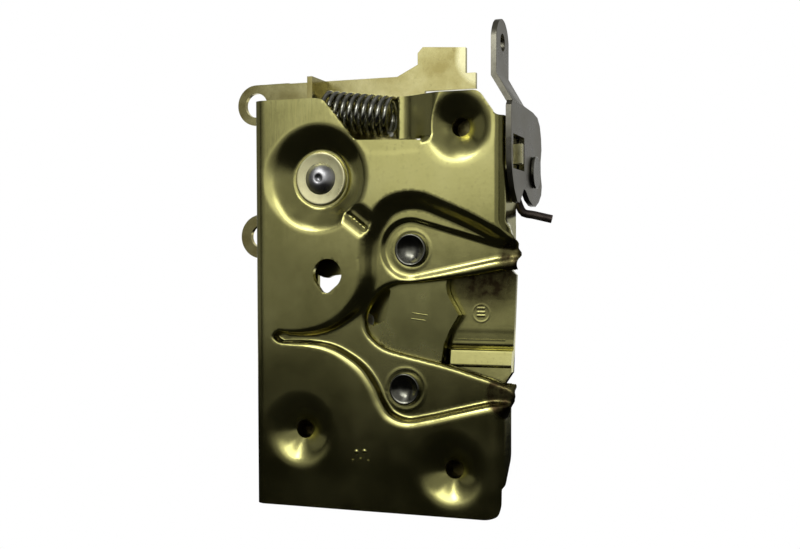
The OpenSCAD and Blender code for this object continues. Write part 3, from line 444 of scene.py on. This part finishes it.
# Place of a point of the flat sheet after pressing and bending, at some distance behind its surface
def bentPlace(flatAcross, up, behind):
    v = caseValues
    width, bend = v["width"], v["bend"]
    quarter = math.pi / 2 * bend
    mirrored = flatAcross < width / 2
    run = np.where(mirrored, width - flatAcross, flatAcross) - (width - bend)
    inArc = np.clip(run, 0.0, quarter) * bend / quarter
    across = np.where(run > 0, width - bend + inArc, width - bend + run)
    across = np.where(mirrored, width - across, across)
    depth = pressedDepth(across, up)
    front = depth + behind
    radius = np.maximum(bend - front, 0.6 if behind == 0 else 0.12)
    side = width - behind
    straight = np.maximum(side - radius - (width - bend), 0.0)
    total = straight + math.pi / 2 * radius
    way = np.clip(run / quarter, 0.0, 1.0) * total
    angle = np.clip((way - straight) / radius, 0.0, math.pi / 2)
    x = np.where(way < straight, width - bend + way, side - radius + radius * np.sin(angle))
    y = np.where(way < straight, front, front + radius - radius * np.cos(angle))
    flange = bend + (run - quarter)
    y = np.where(run > quarter, flange + (front + radius - bend) * np.clip(1 - (flange - bend) / 4, 0, 1), y)
    x = np.where(run > quarter, side, x)
    x = np.where(run <= 0, width - bend + run, x)
    y = np.where(run <= 0, front, y)
    # Folded corners above and below the mouth
    for middle, reach, out in v["folds"]:
        fold = np.clip(1 - ((up - middle) / reach) ** 2, 0, 1) ** 1.3 * np.exp(-((run - 5.2) / 2.9) ** 2)
        lumps = 1 + 0.1 * np.sin(up * 1.7 + run * 1.1) + 0.08 * np.sin(up * 0.9 - run * 1.9)
        x = x + out * fold * lumps * ~mirrored
        y = y - 0.3 * out * fold * ~mirrored
    x = np.where(mirrored, width - x, x)
    # The left flange leans out a little, more so at the top
    lean = v["leanLow"] + (v["leanTop"] - v["leanLow"]) * up / v["height"]
    x = x - lean * smoothStep((7.0 - flatAcross) / 7.0)
    # The ear's end turns back behind the spring
    turned = onEar(flatAcross, up) & (flatAcross < v["earEnd"])
    past = np.clip(v["earEnd"] - flatAcross, 0.0, None)
    angle = np.clip(past / v["earTurn"], 0.0, math.pi / 2)
    earY = v["ear"] + v["earTurn"] * (1 - np.cos(angle))
    earY = earY + np.clip(past - math.pi / 2 * v["earTurn"], 0.0, None)
    earX = v["earEnd"] - v["earTurn"] * np.sin(angle)
    x = np.where(turned, earX if behind == 0 else v["earEnd"] + 0.3, x)
    y = np.where(turned, earY if behind == 0 else np.maximum(earY, v["earBack"]), y)
    return np.stack([x, y, up], 1)


def toFramePoints(points):
    return (points + np.array([cornerX, 0.0, cornerZ])) * mm


# Rows of points beside a closed loop, so that the triangles run along its slopes
def besideLoop(loop, shares, spacing):
    loop = spacedLoop(loop, spacing)
    along = (np.roll(loop, -1, 0) - np.roll(loop, 1, 0))[:, :2]
    inward = np.stack([-along[:, 1], along[:, 0]], 1) / np.hypot(*along.T)[:, None]
    if nearLoop(loop[:, :2] + 0.05 * inward, loop)[1].mean() < 0.5:
        inward = -inward
    reach = loop[:, 2] * 1.05 if loop.shape[1] > 2 else np.ones(len(loop))
    offset = np.concatenate([reach * share for share in shares])
    points = np.tile(loop[:, :2], (len(shares), 1)) + np.tile(inward, (len(shares), 1)) * offset[:, None]
    distance, inside, _ = nearLoop(points, loop)
    return points[np.abs(np.where(inside, distance, -distance) - offset) < 0.04]


# Triangles over a flat outline with holes, filled with rows of points and with others between them
# that are close only where the sheet bends
def flatTriangles(outer, holes, spacing, busyPlaces, rows):
    loops = [outer] + holes
    coords, edges = [], []
    for loop in loops:
        start = len(coords)
        coords += [tuple(p) for p in loop[:, :2]]
        edges += [(start + i, start + (i + 1) % len(loop)) for i in range(len(loop))]
    low, high = outer[:, :2].min(0), outer[:, :2].max(0)
    across, up = np.meshgrid(np.arange(low[0], high[0], spacing),
                             np.arange(low[1], high[1], spacing * math.sqrt(3) / 2))
    across[1::2] += spacing / 2
    sparse = np.zeros(across.shape, bool)
    sparse[::4, ::2] = True
    sparse[2::4, 1::2] = True
    keep = (sparse | busyPlaces(across, up)).ravel()
    grid = np.stack([across.ravel(), up.ravel()], 1)[keep]
    rowTree = kdtree.KDTree(len(rows))
    for index, point in enumerate(rows):
        rowTree.insert((*point, 0.0), index)
    rowTree.balance()
    free = [rowTree.find((*point, 0.0))[2] > spacing * 0.6 for point in grid]
    grid = np.concatenate([grid[free], rows])
    keep = np.ones(len(grid), bool)
    for index, loop in enumerate(loops):
        distance, inside, _ = nearLoop(grid, loop)
        keep &= (inside if index == 0 else ~inside) & (distance > spacing * 0.55)
    coords += [tuple(p) for p in grid[keep]]
    verts, _, faces, *_ = geometry.delaunay_2d_cdt([Vector(c) for c in coords], edges, [], 0, 1e-5)
    points = np.array([(p.x, p.y) for p in verts])
    triangles = np.array(list(faces))
    centre = points[triangles].mean(1)
    keep = np.ones(len(centre), bool)
    for index, loop in enumerate(loops):
        _, inside, _ = nearLoop(centre, loop)
        keep &= inside if index == 0 else ~inside
    triangles = triangles[keep]
    a, b, c = (points[triangles[:, k]] for k in range(3))
    turn = (b[:, 0] - a[:, 0]) * (c[:, 1] - a[:, 1]) - (b[:, 1] - a[:, 1]) * (c[:, 0] - a[:, 0])
    triangles[turn < 0] = triangles[turn < 0][:, ::-1]
    return points, triangles


# Where the face of the case slopes or bends, on a grid of places
def busyFace(across, up):
    depth = pressedDepth(across.ravel(), up.ravel()).reshape(across.shape)
    step = across[0, 1] - across[0, 0]
    rise = np.maximum(np.abs(np.gradient(depth, axis=1)), np.abs(np.gradient(depth, axis=0))) / step
    rise = np.maximum.reduce([rise, np.roll(rise, 2, 0), np.roll(rise, -2, 0), np.roll(rise, 2, 1),
                              np.roll(rise, -2, 1)])
    bent = (across > 64.5) & (across < 79.0) | (across < 4.5)
    return (rise > caseValues["busySlope"]) | bent


# A sheet from the places of its front and back points
def sheetMesh(name, front, back, triangles):
    count = len(front)
    edgeUse = dict.fromkeys((int(tri[k]), int(tri[(k + 1) % 3])) for tri in triangles for k in range(3))
    rim = [(a, b) for a, b in edgeUse if (b, a) not in edgeUse]
    faces = triangles.tolist() + (triangles[:, ::-1] + count).tolist()
    faces += [(b, a, a + count, b + count) for a, b in rim]
    mesh = bpy.data.meshes.new(name)
    mesh.from_pydata(np.concatenate([front, back]).tolist(), [], faces)
    mesh.validate()
    return mesh


def smoothMesh(mesh, angle):
    mesh.shade_smooth()
    mesh.set_sharp_from_angle(angle=math.radians(angle))


def addPiece(name, mesh, material, smoothAngle=40.0):
    piece = bpy.data.objects.new(name, mesh)
    scene.collection.objects.link(piece)
    mesh.materials.clear()
    mesh.materials.append(material)
    smoothMesh(mesh, smoothAngle)
    return piece


# Rounds the edges that are sharper than an angle
def roundEdges(piece, width, steps, angle=35.0, hard=False):
    bevel = piece.modifiers.new("edges", "BEVEL")
    bevel.width = width * mm
    bevel.segments = steps
    bevel.limit_method = "ANGLE"
    bevel.angle_limit = math.radians(angle)
    bevel.use_clamp_overlap = True
    bevel.harden_normals = hard
    keepShape(piece)


# Puts what the modifiers make into the mesh itself
def keepShape(piece):
    graph = bpy.context.evaluated_depsgraph_get()
    made = bpy.data.meshes.new_from_object(piece.evaluated_get(graph), preserve_all_data_layers=True,
                                           depsgraph=graph)
    old = piece.data
    piece.modifiers.clear()
    piece.data = made
    bpy.data.meshes.remove(old)


def lineToFlange(loop):
    width, bend = caseValues["width"], caseValues["bend"]
    stretch = math.pi / 2
    kept = loop[loop[:, 0] < width].copy()
    past = kept[:, 0] > width - bend
    kept[past, 0] = width - bend + (kept[past, 0] - (width - bend)) * stretch
    return kept


def makeCase():
    v = caseValues
    lower = roundedLoop(sheetOutline)
    upper = roundedLoop(sheetOutlineUpper)
    mouth = lineToFlange(mouthLoop[::-1][:, :2])
    outer = np.concatenate([lower, [(70.9, 34.6)], mouth, [(70.9, 64.0)], upper])
    outer = spacedLoop(outer, v["edgeSpacing"])
    holes = [circleLoop(c, 2.5, 36) for c in fixingHoles]
    holes += [circleLoop(clawCentre, 3.4), circleLoop(pawlCentre, 3.0), circleLoop(leverCentre, 3.0)]
    holes.append(bandLoop((20.8, 62.7), 4.1, (20.4, 59.5), 1.9))
    holes.append(spacedLoop(roundedLoop([(74.9, 87.4, 0.8), (78.4, 87.4, 0.8), (78.4, 101.8, 0.8),
                                         (74.9, 101.8, 0.8)]), v["edgeSpacing"]))
    rows = np.concatenate([besideLoop(recessLoop, v["wallRows"], v["rowSpacing"]),
                           besideLoop(pocketLoop, v["pocketRows"], v["rowSpacing"])])
    points, triangles = flatTriangles(outer, holes, v["pointSpacing"], busyFace, lineToFlange(rows))
    front = toFramePoints(bentPlace(points[:, 0], points[:, 1], 0.0))
    back = toFramePoints(bentPlace(points[:, 0], points[:, 1], v["sheet"]))
    mesh = sheetMesh("case_sheet", front, back, triangles)
    piece = addPiece("case_sheet", mesh, zincCase)
    roundEdges(piece, v["edgeRound"], v["edgeSteps"], 60.0)
    smoothMesh(piece.data, 50.0)
    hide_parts("face_case")
    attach(piece, "case")
    print("stage: case with", len(piece.data.polygons), "faces")


makeCase()


# A form turned about a line along Y, from [radius, depth] pairs
def turnedPiece(name, centre, outline, body, slotName, node=None, steps=64, smoothAngle=30.0):
    verts, faces = [], []
    rings = []
    for radius, depth in outline:
        if radius < 1e-6:
            rings.append([len(verts)])
            verts.append(toFrame(centre[0], depth, centre[1]))
            continue
        ring = []
        for k in range(steps):
            a = 2 * math.pi * k / steps
            ring.append(len(verts))
            verts.append(toFrame(centre[0] + radius * math.cos(a), depth, centre[1] + radius * math.sin(a)))
        rings.append(ring)
    pairs = list(zip(rings, rings[1:]))
    if len(rings[0]) > 1 and len(rings[-1]) > 1:
        pairs.append((rings[-1], rings[0]))
    for first, second in pairs:
        for k in range(steps):
            j = (k + 1) % steps
            corners = [first[k % len(first)], first[j % len(first)], second[j % len(second)],
                       second[k % len(second)]]
            face = list(dict.fromkeys(corners))
            if len(face) > 2:
                faces.append(face)
    mesh = bpy.data.meshes.new(name)
    mesh.from_pydata(verts, [], faces)
    mesh.validate()
    shape = bmesh.new()
    shape.from_mesh(mesh)
    bmesh.ops.recalc_face_normals(shape, faces=shape.faces)
    shape.to_mesh(mesh)
    shape.free()
    piece = addPiece(name, mesh, slotMaterials[slotName], smoothAngle)
    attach(piece, body)
    if node:
        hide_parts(node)


# Tapped collars behind the fixing holes, with their threads
threadValues = {"pitch": 1.0, "cut": 0.28, "core": 2.5, "outer": 4.0, "start": 4.0, "end": 9.65}


def makeCollars():
    v = threadValues
    for index, hole in enumerate(fixingHoles):
        outline = [(v["outer"], v["end"]), (v["outer"], v["start"] + 0.6)]
        outline += [(v["core"] + 0.15, v["start"] + 0.6), (v["core"], v["start"] + 0.7)]
        turns = int((v["end"] - v["start"] - 0.8) / v["pitch"] * 2)
        for k in range(1, turns):
            outline.append((v["core"] + v["cut"] * (k % 2), v["start"] + 0.7 + k * v["pitch"] / 2))
        outline.append((v["core"], v["end"]))
        turnedPiece("fixing_collar_%d" % (index + 1), hole, outline, "case", "zinc_case", None, 40, 60.0)


makeCollars()


# Small raised dots of the maker's mark on the face: across, up, radius
markDots = [(29.2, 15.6, 0.8), (31.5, 15.8, 0.8), (28.2, 13.3, 0.42), (30.4, 13.8, 0.42), (32.6, 13.4, 0.42)]
for index, (dotAcross, dotUp, dotRadius) in enumerate(markDots):
    dotOutline = [(0, -0.2), (dotRadius * 0.5, -0.14), (dotRadius * 0.85, 0.02), (dotRadius, 0.2), (0, 0.2)]
    turnedPiece("mark_dot_%d" % (index + 1), (dotAcross, dotUp), dotOutline, "case", "zinc_case", None, 16)


# Heads of the rivets: [radius, depth] pairs, turned about the rivet's own centre
rivetValues = {
    "claw": [(0, 4.0), (1.0, 3.95), (2.0, 3.7), (2.8, 3.25), (3.4, 2.7), (3.75, 2.45), (4.05, 2.42),
             (4.3, 2.6), (4.4, 2.9), (4.4, 3.8), (2.7, 3.85), (2.7, 11.0), (5.2, 11.2), (5.1, 12.0),
             (4.2, 12.55), (2.6, 12.6), (2.0, 12.1), (0, 12.0)],
    "pawl": [(0, 3.2), (0.9, 3.15), (1.8, 2.9), (2.6, 2.45), (3.2, 1.95), (3.6, 1.7), (3.9, 1.65),
             (4.15, 1.8), (4.25, 2.1), (4.25, 3.0), (2.6, 3.05), (2.6, 11.0), (4.7, 11.2), (4.6, 12.0),
             (3.8, 12.55), (2.4, 12.6), (1.8, 12.1), (0, 12.0)],
    "lever": [(0, 1.9), (0.4, 1.85), (0.75, 1.55), (1.15, 1.3), (1.6, 1.3), (2.3, 1.5), (3.0, 1.85),
              (3.6, 2.25), (4.1, 2.7), (4.35, 2.98), (4.4, 3.05), (3.1, 3.1), (3.0, 4.0), (3.0, 19.2),
              (2.7, 19.6), (0, 19.65)]}
turnedPiece("claw_rivet_shape", clawCentre, rivetValues["claw"], "case", "rivet_steel",
            "claw_rivet", 72, 50.0)
turnedPiece("pawl_rivet_shape", pawlCentre, rivetValues["pawl"], "case", "rivet_steel",
            "pawl_rivet", 72, 50.0)
turnedPiece("lever_rivet_shape", leverCentre, rivetValues["lever"], "case", "bright_steel",
            "lever_rivet", 72, 50.0)
ringOutline = [(3.05, 3.55), (3.05, 3.02), (6.5, 2.92), (6.85, 2.86), (7.1, 2.9), (7.3, 3.1), (7.3, 3.55)]
turnedPiece("pivot_washer_shape", leverCentre, ringOutline, "case", "zinc_lever", "pivot_washer", 72, 40.0)
print("stage: rivets done")


# Wire along a path, built with Geometry Nodes: a curve swept with a round section
def sweepTree(name):
    tree = bpy.data.node_groups.new(name, "GeometryNodeTree")
    face = tree.interface
    face.new_socket("Geometry", in_out="INPUT", socket_type="NodeSocketGeometry")
    inputs = {title: face.new_socket(title, in_out="INPUT", socket_type=kind).identifier for title, kind in (
        ("Wire radius", "NodeSocketFloat"), ("Sides", "NodeSocketInt"), ("Material", "NodeSocketMaterial"))}
    face.new_socket("Geometry", in_out="OUTPUT", socket_type="NodeSocketGeometry")
    given = addNode(tree, "NodeGroupInput").outputs
    line = addNode(tree, "GeometryNodeMeshToCurve", {0: given["Geometry"]}).outputs[0]
    section = addNode(tree, "GeometryNodeCurvePrimitiveCircle", {
        "Radius": given["Wire radius"], "Resolution": given["Sides"]}).outputs[0]
    wire = addNode(tree, "GeometryNodeCurveToMesh", {
        "Curve": line, "Profile Curve": section, "Fill Caps": True}).outputs[0]
    wire = addNode(tree, "GeometryNodeRealizeInstances", {0: wire}).outputs[0]
    wire = addNode(tree, "GeometryNodeSetMaterial", {
        "Geometry": wire, "Material": given["Material"]}).outputs[0]
    addNode(tree, "NodeGroupOutput", {0: wire})
    return tree, inputs


wireTree, wireInputs = sweepTree("swept_wire")


# Rounded path through given points, as many steps between two of them as asked
def smoothPath(points, steps):
    p = np.array(points, float)
    p = np.concatenate([p[:1] * 2 - p[1:2], p, p[-1:] * 2 - p[-2:-1]])
    rows = []
    for i in range(1, len(p) - 2):
        for k in range(steps):
            t = k / steps
            rows.append(0.5 * (2 * p[i] + (p[i + 1] - p[i - 1]) * t
                               + (2 * p[i - 1] - 5 * p[i] + 4 * p[i + 1] - p[i + 2]) * t * t
                               + (3 * p[i] - p[i - 1] - 3 * p[i + 1] + p[i + 2]) * t ** 3))
    rows.append(p[-2])
    return np.array(rows)


def wirePiece(name, path, radius, body, slotName, node=None, sides=14):
    line = bpy.data.meshes.new(name + "_line")
    line.from_pydata(toFramePoints(np.array(path)).tolist(), [(i, i + 1) for i in range(len(path) - 1)], [])
    holder = bpy.data.objects.new(name, line)
    scene.collection.objects.link(holder)
    sweep = holder.modifiers.new("sweep", "NODES")
    sweep.node_group = wireTree
    sweep[wireInputs["Wire radius"]] = radius * mm
    sweep[wireInputs["Sides"]] = sides
    sweep[wireInputs["Material"]] = slotMaterials[slotName]
    keepShape(holder)
    smoothMesh(holder.data, 50.0)
    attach(holder, body)
    if node:
        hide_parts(node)


# Return spring in the notch: end coils closed, the others open
returnSpring = {"left": (17.3, 7.4, 107.6), "right": (37.0, 7.4, 105.1), "radius": 4.8, "wire": 0.68,
                "coils": 10.5, "stepsPerCoil": 36, "closed": 0.75}


def makeReturnSpring():
    v = returnSpring
    left, right = np.array(v["left"]), np.array(v["right"])
    along = (right - left) / np.linalg.norm(right - left)
    side = np.array([0.0, 1.0, 0.0])
    high = np.cross(along, side)
    steps = int(v["coils"] * v["stepsPerCoil"])
    turns = np.linspace(0, v["coils"], steps + 1)
    # Ends run flat for most of a coil
    advance = np.interp(turns, [0, v["closed"], v["coils"] - v["closed"], v["coils"]], [0, 0.035, 0.965, 1])
    angle = turns * 2 * math.pi
    path = (left + np.outer(advance, right - left)
            + v["radius"] * (np.outer(np.cos(angle), high) + np.outer(np.sin(angle), side)))
    wirePiece("return_spring", path, v["wire"], "case", "spring_steel", "release_spring", 12)


makeReturnSpring()

# Torsion spring behind the case: a leg in the claw, coils round the rivet's tail, a leg to the stud
clawSpring = {"centre": (42.7, 69.1), "legRadius": 8.2, "legAngle": 165.0, "coil": 6.5, "turns": 2.3,
              "rise": 3.5, "wire": 0.7, "rear": 12.0}


def makeClawSpring():
    v = clawSpring
    centre = np.array(v["centre"])

    def around(radius, degrees):
        a = math.radians(degrees)
        return centre + radius * np.array([math.cos(a), -math.sin(a)])

    out = around(v["legRadius"], v["legAngle"])
    path = [(out[0], 7.6, out[1]), (out[0], 9.5, out[1]), (out[0], v["rear"] - 1.0, out[1]),
            (out[0] + 0.2, v["rear"] - 0.1, out[1] + 0.1)]
    for k in range(93):
        t = k / 92
        place = around(v["coil"], v["legAngle"] + 24 + 360 * v["turns"] * t)
        path.append((place[0], v["rear"] + v["rise"] * t, place[1]))
    path.append((centre[0] + 13.2, v["rear"] + v["rise"], centre[1] + 9.8))
    wirePiece("claw_spring_wire", smoothPath(path, 2), v["wire"], "case", "spring_steel", "claw_spring", 12)


makeClawSpring()
lockSpringPath = [(30.6, 16.4, 97.5), (30.6, 18.0, 97.5), (31.4, 18.4, 96.6), (35.3, 18.7, 91.8),
                  (37.8, 18.7, 89.9), (40.3, 18.7, 90.4), (41.3, 18.6, 92.4), (43.0, 18.4, 92.5),
                  (44.0, 17.6, 92.0), (44.0, 10.1, 92.0)]
wirePiece("lock_spring_wire", smoothPath(lockSpringPath, 5), 0.5, "case", "spring_steel", "lock_spring", 10)

# Spring round the side pivot, bent out under the side lever
sideSpring = {"coil": 3.8, "wire": 1.1, "centre": (27.0, 90.5)}


def makeSideSpring():
    v = sideSpring
    start = 66.5
    path = []
    for k in range(61):
        a = math.radians(530 - 10 * k)
        path.append((start - 2.6 * (1 - k / 60), v["centre"][0] + v["coil"] * math.cos(a),
                     v["centre"][1] + v["coil"] * math.sin(a)))
    path += [(66.5, 23.2, 86.1), (66.6, 21.4, 85.6), (67.4, 19.2, 84.8), (68.5, 17.8, 83.0),
             (69.4, 17.1, 80.8), (70.6, 17.0, 79.0), (73.0, 17.3, 78.5), (78.0, 18.0, 77.3)]
    wirePiece("side_spring_wire", smoothPath(path, 2), v["wire"], "case", "dark_wire", "side_spring", 16)


makeSideSpring()
print("stage: springs done")

# Two small raised dashes on the claw
clawDashes = {"claw_dash_1": [(43.1, 52.4), (47.4, 51.8)], "claw_dash_2": [(42.8, 50.9), (46.8, 50.4)]}
for dashName, dashEnds in clawDashes.items():
    dashPath = np.array([(a, 5.66, b) for a, b in dashEnds])
    wirePiece(dashName, smoothPath(dashPath, 6), 0.24, "claw", "claw_steel", None, 12)


# Stamped and turned pieces keep the solid's shape and get rounded edges
def softNode(node, width, steps=2, angle=32.0):
    solid = frame["nodes"][node]
    mesh = solid.data.copy()
    shape = bmesh.new()
    shape.from_mesh(mesh)
    bmesh.ops.remove_doubles(shape, verts=shape.verts, dist=0.002 * mm)
    bmesh.ops.dissolve_limit(shape, angle_limit=math.radians(1.0), verts=shape.verts, edges=shape.edges)
    shape.to_mesh(mesh)
    shape.free()
    mesh.name = node + "_shape"
    piece = bpy.data.objects.new(node + "_shape", mesh)
    scene.collection.objects.link(piece)
    smoothMesh(mesh, angle)
    roundEdges(piece, width, steps, angle, True)
    bodies = frame["record"]["behaviour"]["bodies"]
    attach(piece, next(name for name, nodes in bodies.items() if node in nodes))
    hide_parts(node)


edgeRounds = {
    "back_plate": 0.25, "claw": 0.35, "pawl": 0.3, "release_link": 0.2, "release_lever": 0.3,
    "tab_lever": 0.3, "lock_lever": 0.25, "side_lever": 0.3, "side_pivot": 0.25, "release_sleeve": 0.15,
    "rear_clip": 0.12, "lever_spacer": 0.05, "claw_washer": 0.05, "link_guide": 0.12, "pawl_pin": 0.2,
    "release_pin": 0.2, "claw_bumper": 0.4}
for nodeName, roundWidth in edgeRounds.items():
    softNode(nodeName, roundWidth)
print("stage: stamped pieces done")

# Front of the back plate where the mouth shows it: a shallow hollow, a ridge, a bar and a stamped ring
plateValues = {"front": 9.58, "left": 47.0, "low": 34.4, "high": 65.3, "spacing": 0.2, "sheet": 0.5,
               "hollow": 0.36, "ring": (60.9, 52.4, 2.3)}
plateEdge = np.array([(34.0, 67.42), (37.0, 69.42), (62.5, 70.42), (65.5, 67.42)])
plateProfile = np.array([(34.2, -1.96), (38.2, -1.54), (38.5, -2.1), (38.9, -2.16), (42.3, -1.58),
                         (42.65, -1.5), (42.85, -0.02), (44.0, -0.4), (44.4, -0.43), (45.6, -0.34),
                         (47.0, -0.31), (49.5, -0.25), (56.0, -0.04), (60.0, 0.0)])


def plateDepth(across, up):
    v = plateValues
    profile = np.interp(up, plateProfile[:, 0], plateProfile[:, 1])
    profile = profile * smoothStep((across - 51.4) / 1.6)
    hollow = -v["hollow"] * ((up - 52.0) / 11.0) ** 2 * smoothStep((up - 47.0) / 1.5)
    ringAcross, ringUp, ringRadius = v["ring"]
    away = np.hypot(across - ringAcross, up - ringUp)
    mark = 0.45 * np.exp(-((away - ringRadius) / 0.2) ** 2)
    for offset in (1.3, 0.25, -0.65):
        dash = np.exp(-((up - ringUp - offset) / 0.17) ** 2) * (np.abs(across - ringAcross) < 1.1)
        mark = np.maximum(mark, dash)
    return v["front"] + profile + hollow - 0.1 * mark


def makePlateFront():
    v = plateValues
    share, up = np.meshgrid(np.linspace(0.0, 1.0, 116), np.arange(v["low"], v["high"], v["spacing"]))
    across = v["left"] + share * (np.interp(up, plateEdge[:, 0], plateEdge[:, 1]) - v["left"])
    count, width = across.size, across.shape[1]
    across, up = across.ravel(), up.ravel()
    places = np.arange(count).reshape(-1, width)
    a, b, c, d = places[:-1, :-1], places[:-1, 1:], places[1:, 1:], places[1:, :-1]
    halves = [np.stack([x.ravel() for x in corners], 1) for corners in ((a, b, c), (a, c, d))]
    triangles = np.concatenate(halves)
    depth = plateDepth(across, up)
    front = toFramePoints(np.stack([across, depth, up], 1))
    back = toFramePoints(np.stack([across, np.full(count, v["front"] + v["sheet"]), up], 1))
    mesh = sheetMesh("back_plate_front", front, back, triangles)
    piece = addPiece("back_plate_front", mesh, zincCase, 60.0)
    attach(piece, "case")


makePlateFront()
print("stage: back plate front done")

# Floor, backdrop cards and lamps
studioValues = {"floor": 3.0, "white": 1.0, "floorPaint": 0.8, "room": 0.5, "cardPaint": 0.012,
                "cardDistance": 0.3, "cardTop": 0.42, "haze": 0.22, "hazeFrom": -0.065, "hazeTo": 0.02,
                "windowLow": (0.015, 0.08), "windowLeft": (-0.21, -0.11), "windowRight": (0.04, 0.12),
                "windowHigh": (0.2, 0.32), "hazeLeft": (-0.4, -0.2)}


def plainGrey(level):
    return (level, level, level, 1.0)


# Adds up yes-or-no outputs of Light Path: seen directly, in metal or through glass
def seenFactor(tree):
    path = addNode(tree, "ShaderNodeLightPath").outputs
    seen = joinValues(tree, "MAXIMUM", path["Is Camera Ray"], path["Is Glossy Ray"])
    return joinValues(tree, "MAXIMUM", seen, path["Is Transmission Ray"])


# One shader where the factor is 0 and another where it is 1, out to the surface
def mixSurface(tree, factor, first, second, output="ShaderNodeOutputMaterial"):
    mix = addNode(tree, "ShaderNodeMixShader", {"Fac": factor, 1: first.outputs[0], 2: second.outputs[0]})
    addNode(tree, output, {"Surface": mix.outputs["Shader"]})


def stagePlane(name, corners, material):
    mesh = bpy.data.meshes.new(name)
    mesh.from_pydata(corners, [], [(0, 1, 2, 3)])
    mesh.materials.append(material)
    plane = bpy.data.objects.new(name, mesh)
    scene.collection.objects.link(plane)
    return plane


def floorPaint():
    material, tree = newMaterial("floor_white")
    paint = addNode(tree, "ShaderNodeBsdfDiffuse", {"Color": plainGrey(studioValues["floorPaint"])})
    glow = addNode(tree, "ShaderNodeEmission", {"Strength": studioValues["white"]})
    mixSurface(tree, seenFactor(tree), paint, glow)
    return material


# Dim card, seen only as a reflection, through which some of the white room shows
def cardPaint(name, clear):
    material, tree = newMaterial(name)
    paint = addNode(tree, "ShaderNodeBsdfPrincipled", {
        "Base Color": plainGrey(studioValues["cardPaint"]), "Roughness": 1.0, "Specular IOR Level": 0.0})
    clearness = softWindow(tree) if clear is None else clear
    mixSurface(tree, clearness, paint, addNode(tree, "ShaderNodeBsdfTransparent"))
    return material


# The front card clears softly to a window up in front, and a little towards the horizon
def softWindow(tree):
    v = studioValues
    place = splitVector(tree, addNode(tree, "ShaderNodeTexCoord").outputs["Object"])
    across, up = place["X"], place["Z"]

    def soft(value, low, high, limits):
        return rangeNode(tree, value, low, high, *limits, interpolation_type="SMOOTHSTEP")

    haze = joinValues(tree, "MULTIPLY", rangeNode(tree, up, 0.01, v["haze"], v["hazeFrom"], v["hazeTo"]),
                      soft(across, 0.3, 1.0, v["hazeLeft"]))
    window = soft(across, 0.0, 1.0, v["windowLeft"])
    for edge in (soft(across, 1.0, 0.0, v["windowRight"]), soft(up, 1.0, 0.1, v["windowHigh"]),
                 soft(up, 0.0, 1.0 - v["haze"], v["windowLow"])):
        window = joinValues(tree, "MULTIPLY", window, edge)
    return joinValues(tree, "ADD", haze, window)


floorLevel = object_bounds()[0][2] - 0.0005
reach = studioValues["floor"]
stagePlane("floor", [(-reach, -reach, floorLevel), (reach, -reach, floorLevel), (reach, reach, floorLevel),
                     (-reach, reach, floorLevel)], floorPaint())
far, low, top = studioValues["cardDistance"], floorLevel + 0.0001, studioValues["cardTop"]
# Corners of each card, and how much of the room shows through it
cards = {
    "card_front": ([(-0.6, -far, low), (0.6, -far, low), (0.6, -far, top), (-0.6, -far, top)], None),
    "card_mat": ([(-0.6, -far, low), (0.6, -far, low), (0.6, 0.25, low), (-0.6, 0.25, low)], 0.0),
    "card_top": ([(-0.6, -far, top), (0.6, -far, top), (0.6, 0.5, top), (-0.6, 0.5, top)], 0.14),
    "card_right": ([(0.4, -far, low), (0.5, 0.5, low), (0.5, 0.5, top), (0.4, -far, top)], 0.1),
    "card_left": ([(-0.45, -far, low), (-0.45, 0.5, low), (-0.45, 0.5, top), (-0.45, -far, top)], 0.12),
    "card_back": ([(0.06, 0.5, low), (0.5, 0.5, low), (0.5, 0.5, top), (0.06, 0.5, top)], 0.4)}
for cardName, (corners, clear) in cards.items():
    card = stagePlane(cardName, corners, cardPaint(cardName + "_paint", clear))
    card.visible_camera = False
    card.visible_diffuse = False
    card.visible_shadow = False
    card.visible_transmission = False

world = bpy.data.worlds.new("studio")
scene.world = world
world.use_nodes = True
worldTree = world.node_tree
worldTree.nodes.clear()
roomLight = addNode(worldTree, "ShaderNodeBackground", {"Color": plainGrey(studioValues["room"])})
seenWhite = addNode(worldTree, "ShaderNodeBackground", {"Color": plainGrey(1.0)})
mixSurface(worldTree, seenFactor(worldTree), roomLight, seenWhite, "ShaderNodeOutputWorld")

# Place, width, height and power of each lamp; all of them point at the lock
lampValues = {
    "lamp_key": [(-0.25, -0.5, 0.45), 0.09, 0.3, 0.8],
    "lamp_front": [(-0.067, -0.637, 0.38), 0.4, 0.2, 0.4],
    "lamp_top": [(0.05, -0.05, 0.8), 0.6, 0.5, 0.5],
    "lamp_fill": [(0.7, -0.45, 0.35), 0.3, 0.4, 0.3]}
for lampName, (place, lampWidth, lampHeight, power) in lampValues.items():
    lampData = bpy.data.lights.new(lampName, "AREA")
    lampData.shape = "RECTANGLE"
    lampData.size = lampWidth
    lampData.size_y = lampHeight
    lampData.energy = power
    lamp = bpy.data.objects.new(lampName, lampData)
    scene.collection.objects.link(lamp)
    lamp.location = place
    lamp.rotation_euler = (-Vector(place)).to_track_quat("-Z", "Y").to_euler()

# Camera, fitted to the photograph
cameraValues = {"place": (140.8, -282.0, 65.3), "focal": 1143.0, "width": 800.0, "rise": -10.2,
                "turn": (0.332, 0.943)}
cameraData = bpy.data.cameras.new("camera")
cameraData.sensor_fit = "HORIZONTAL"
cameraData.sensor_width = 36.0
cameraData.lens = cameraValues["focal"] / cameraValues["width"] * cameraData.sensor_width
cameraData.shift_y = cameraValues["rise"] / cameraValues["width"]
cameraData.clip_start = 0.01
camera = bpy.data.objects.new("camera", cameraData)
scene.collection.objects.link(camera)
camera.location = toFrame(*cameraValues["place"])
camera.rotation_euler = (math.radians(90.0), 0.0, math.atan2(*cameraValues["turn"]))
scene.camera = camera
print("stage: lamps and camera done")
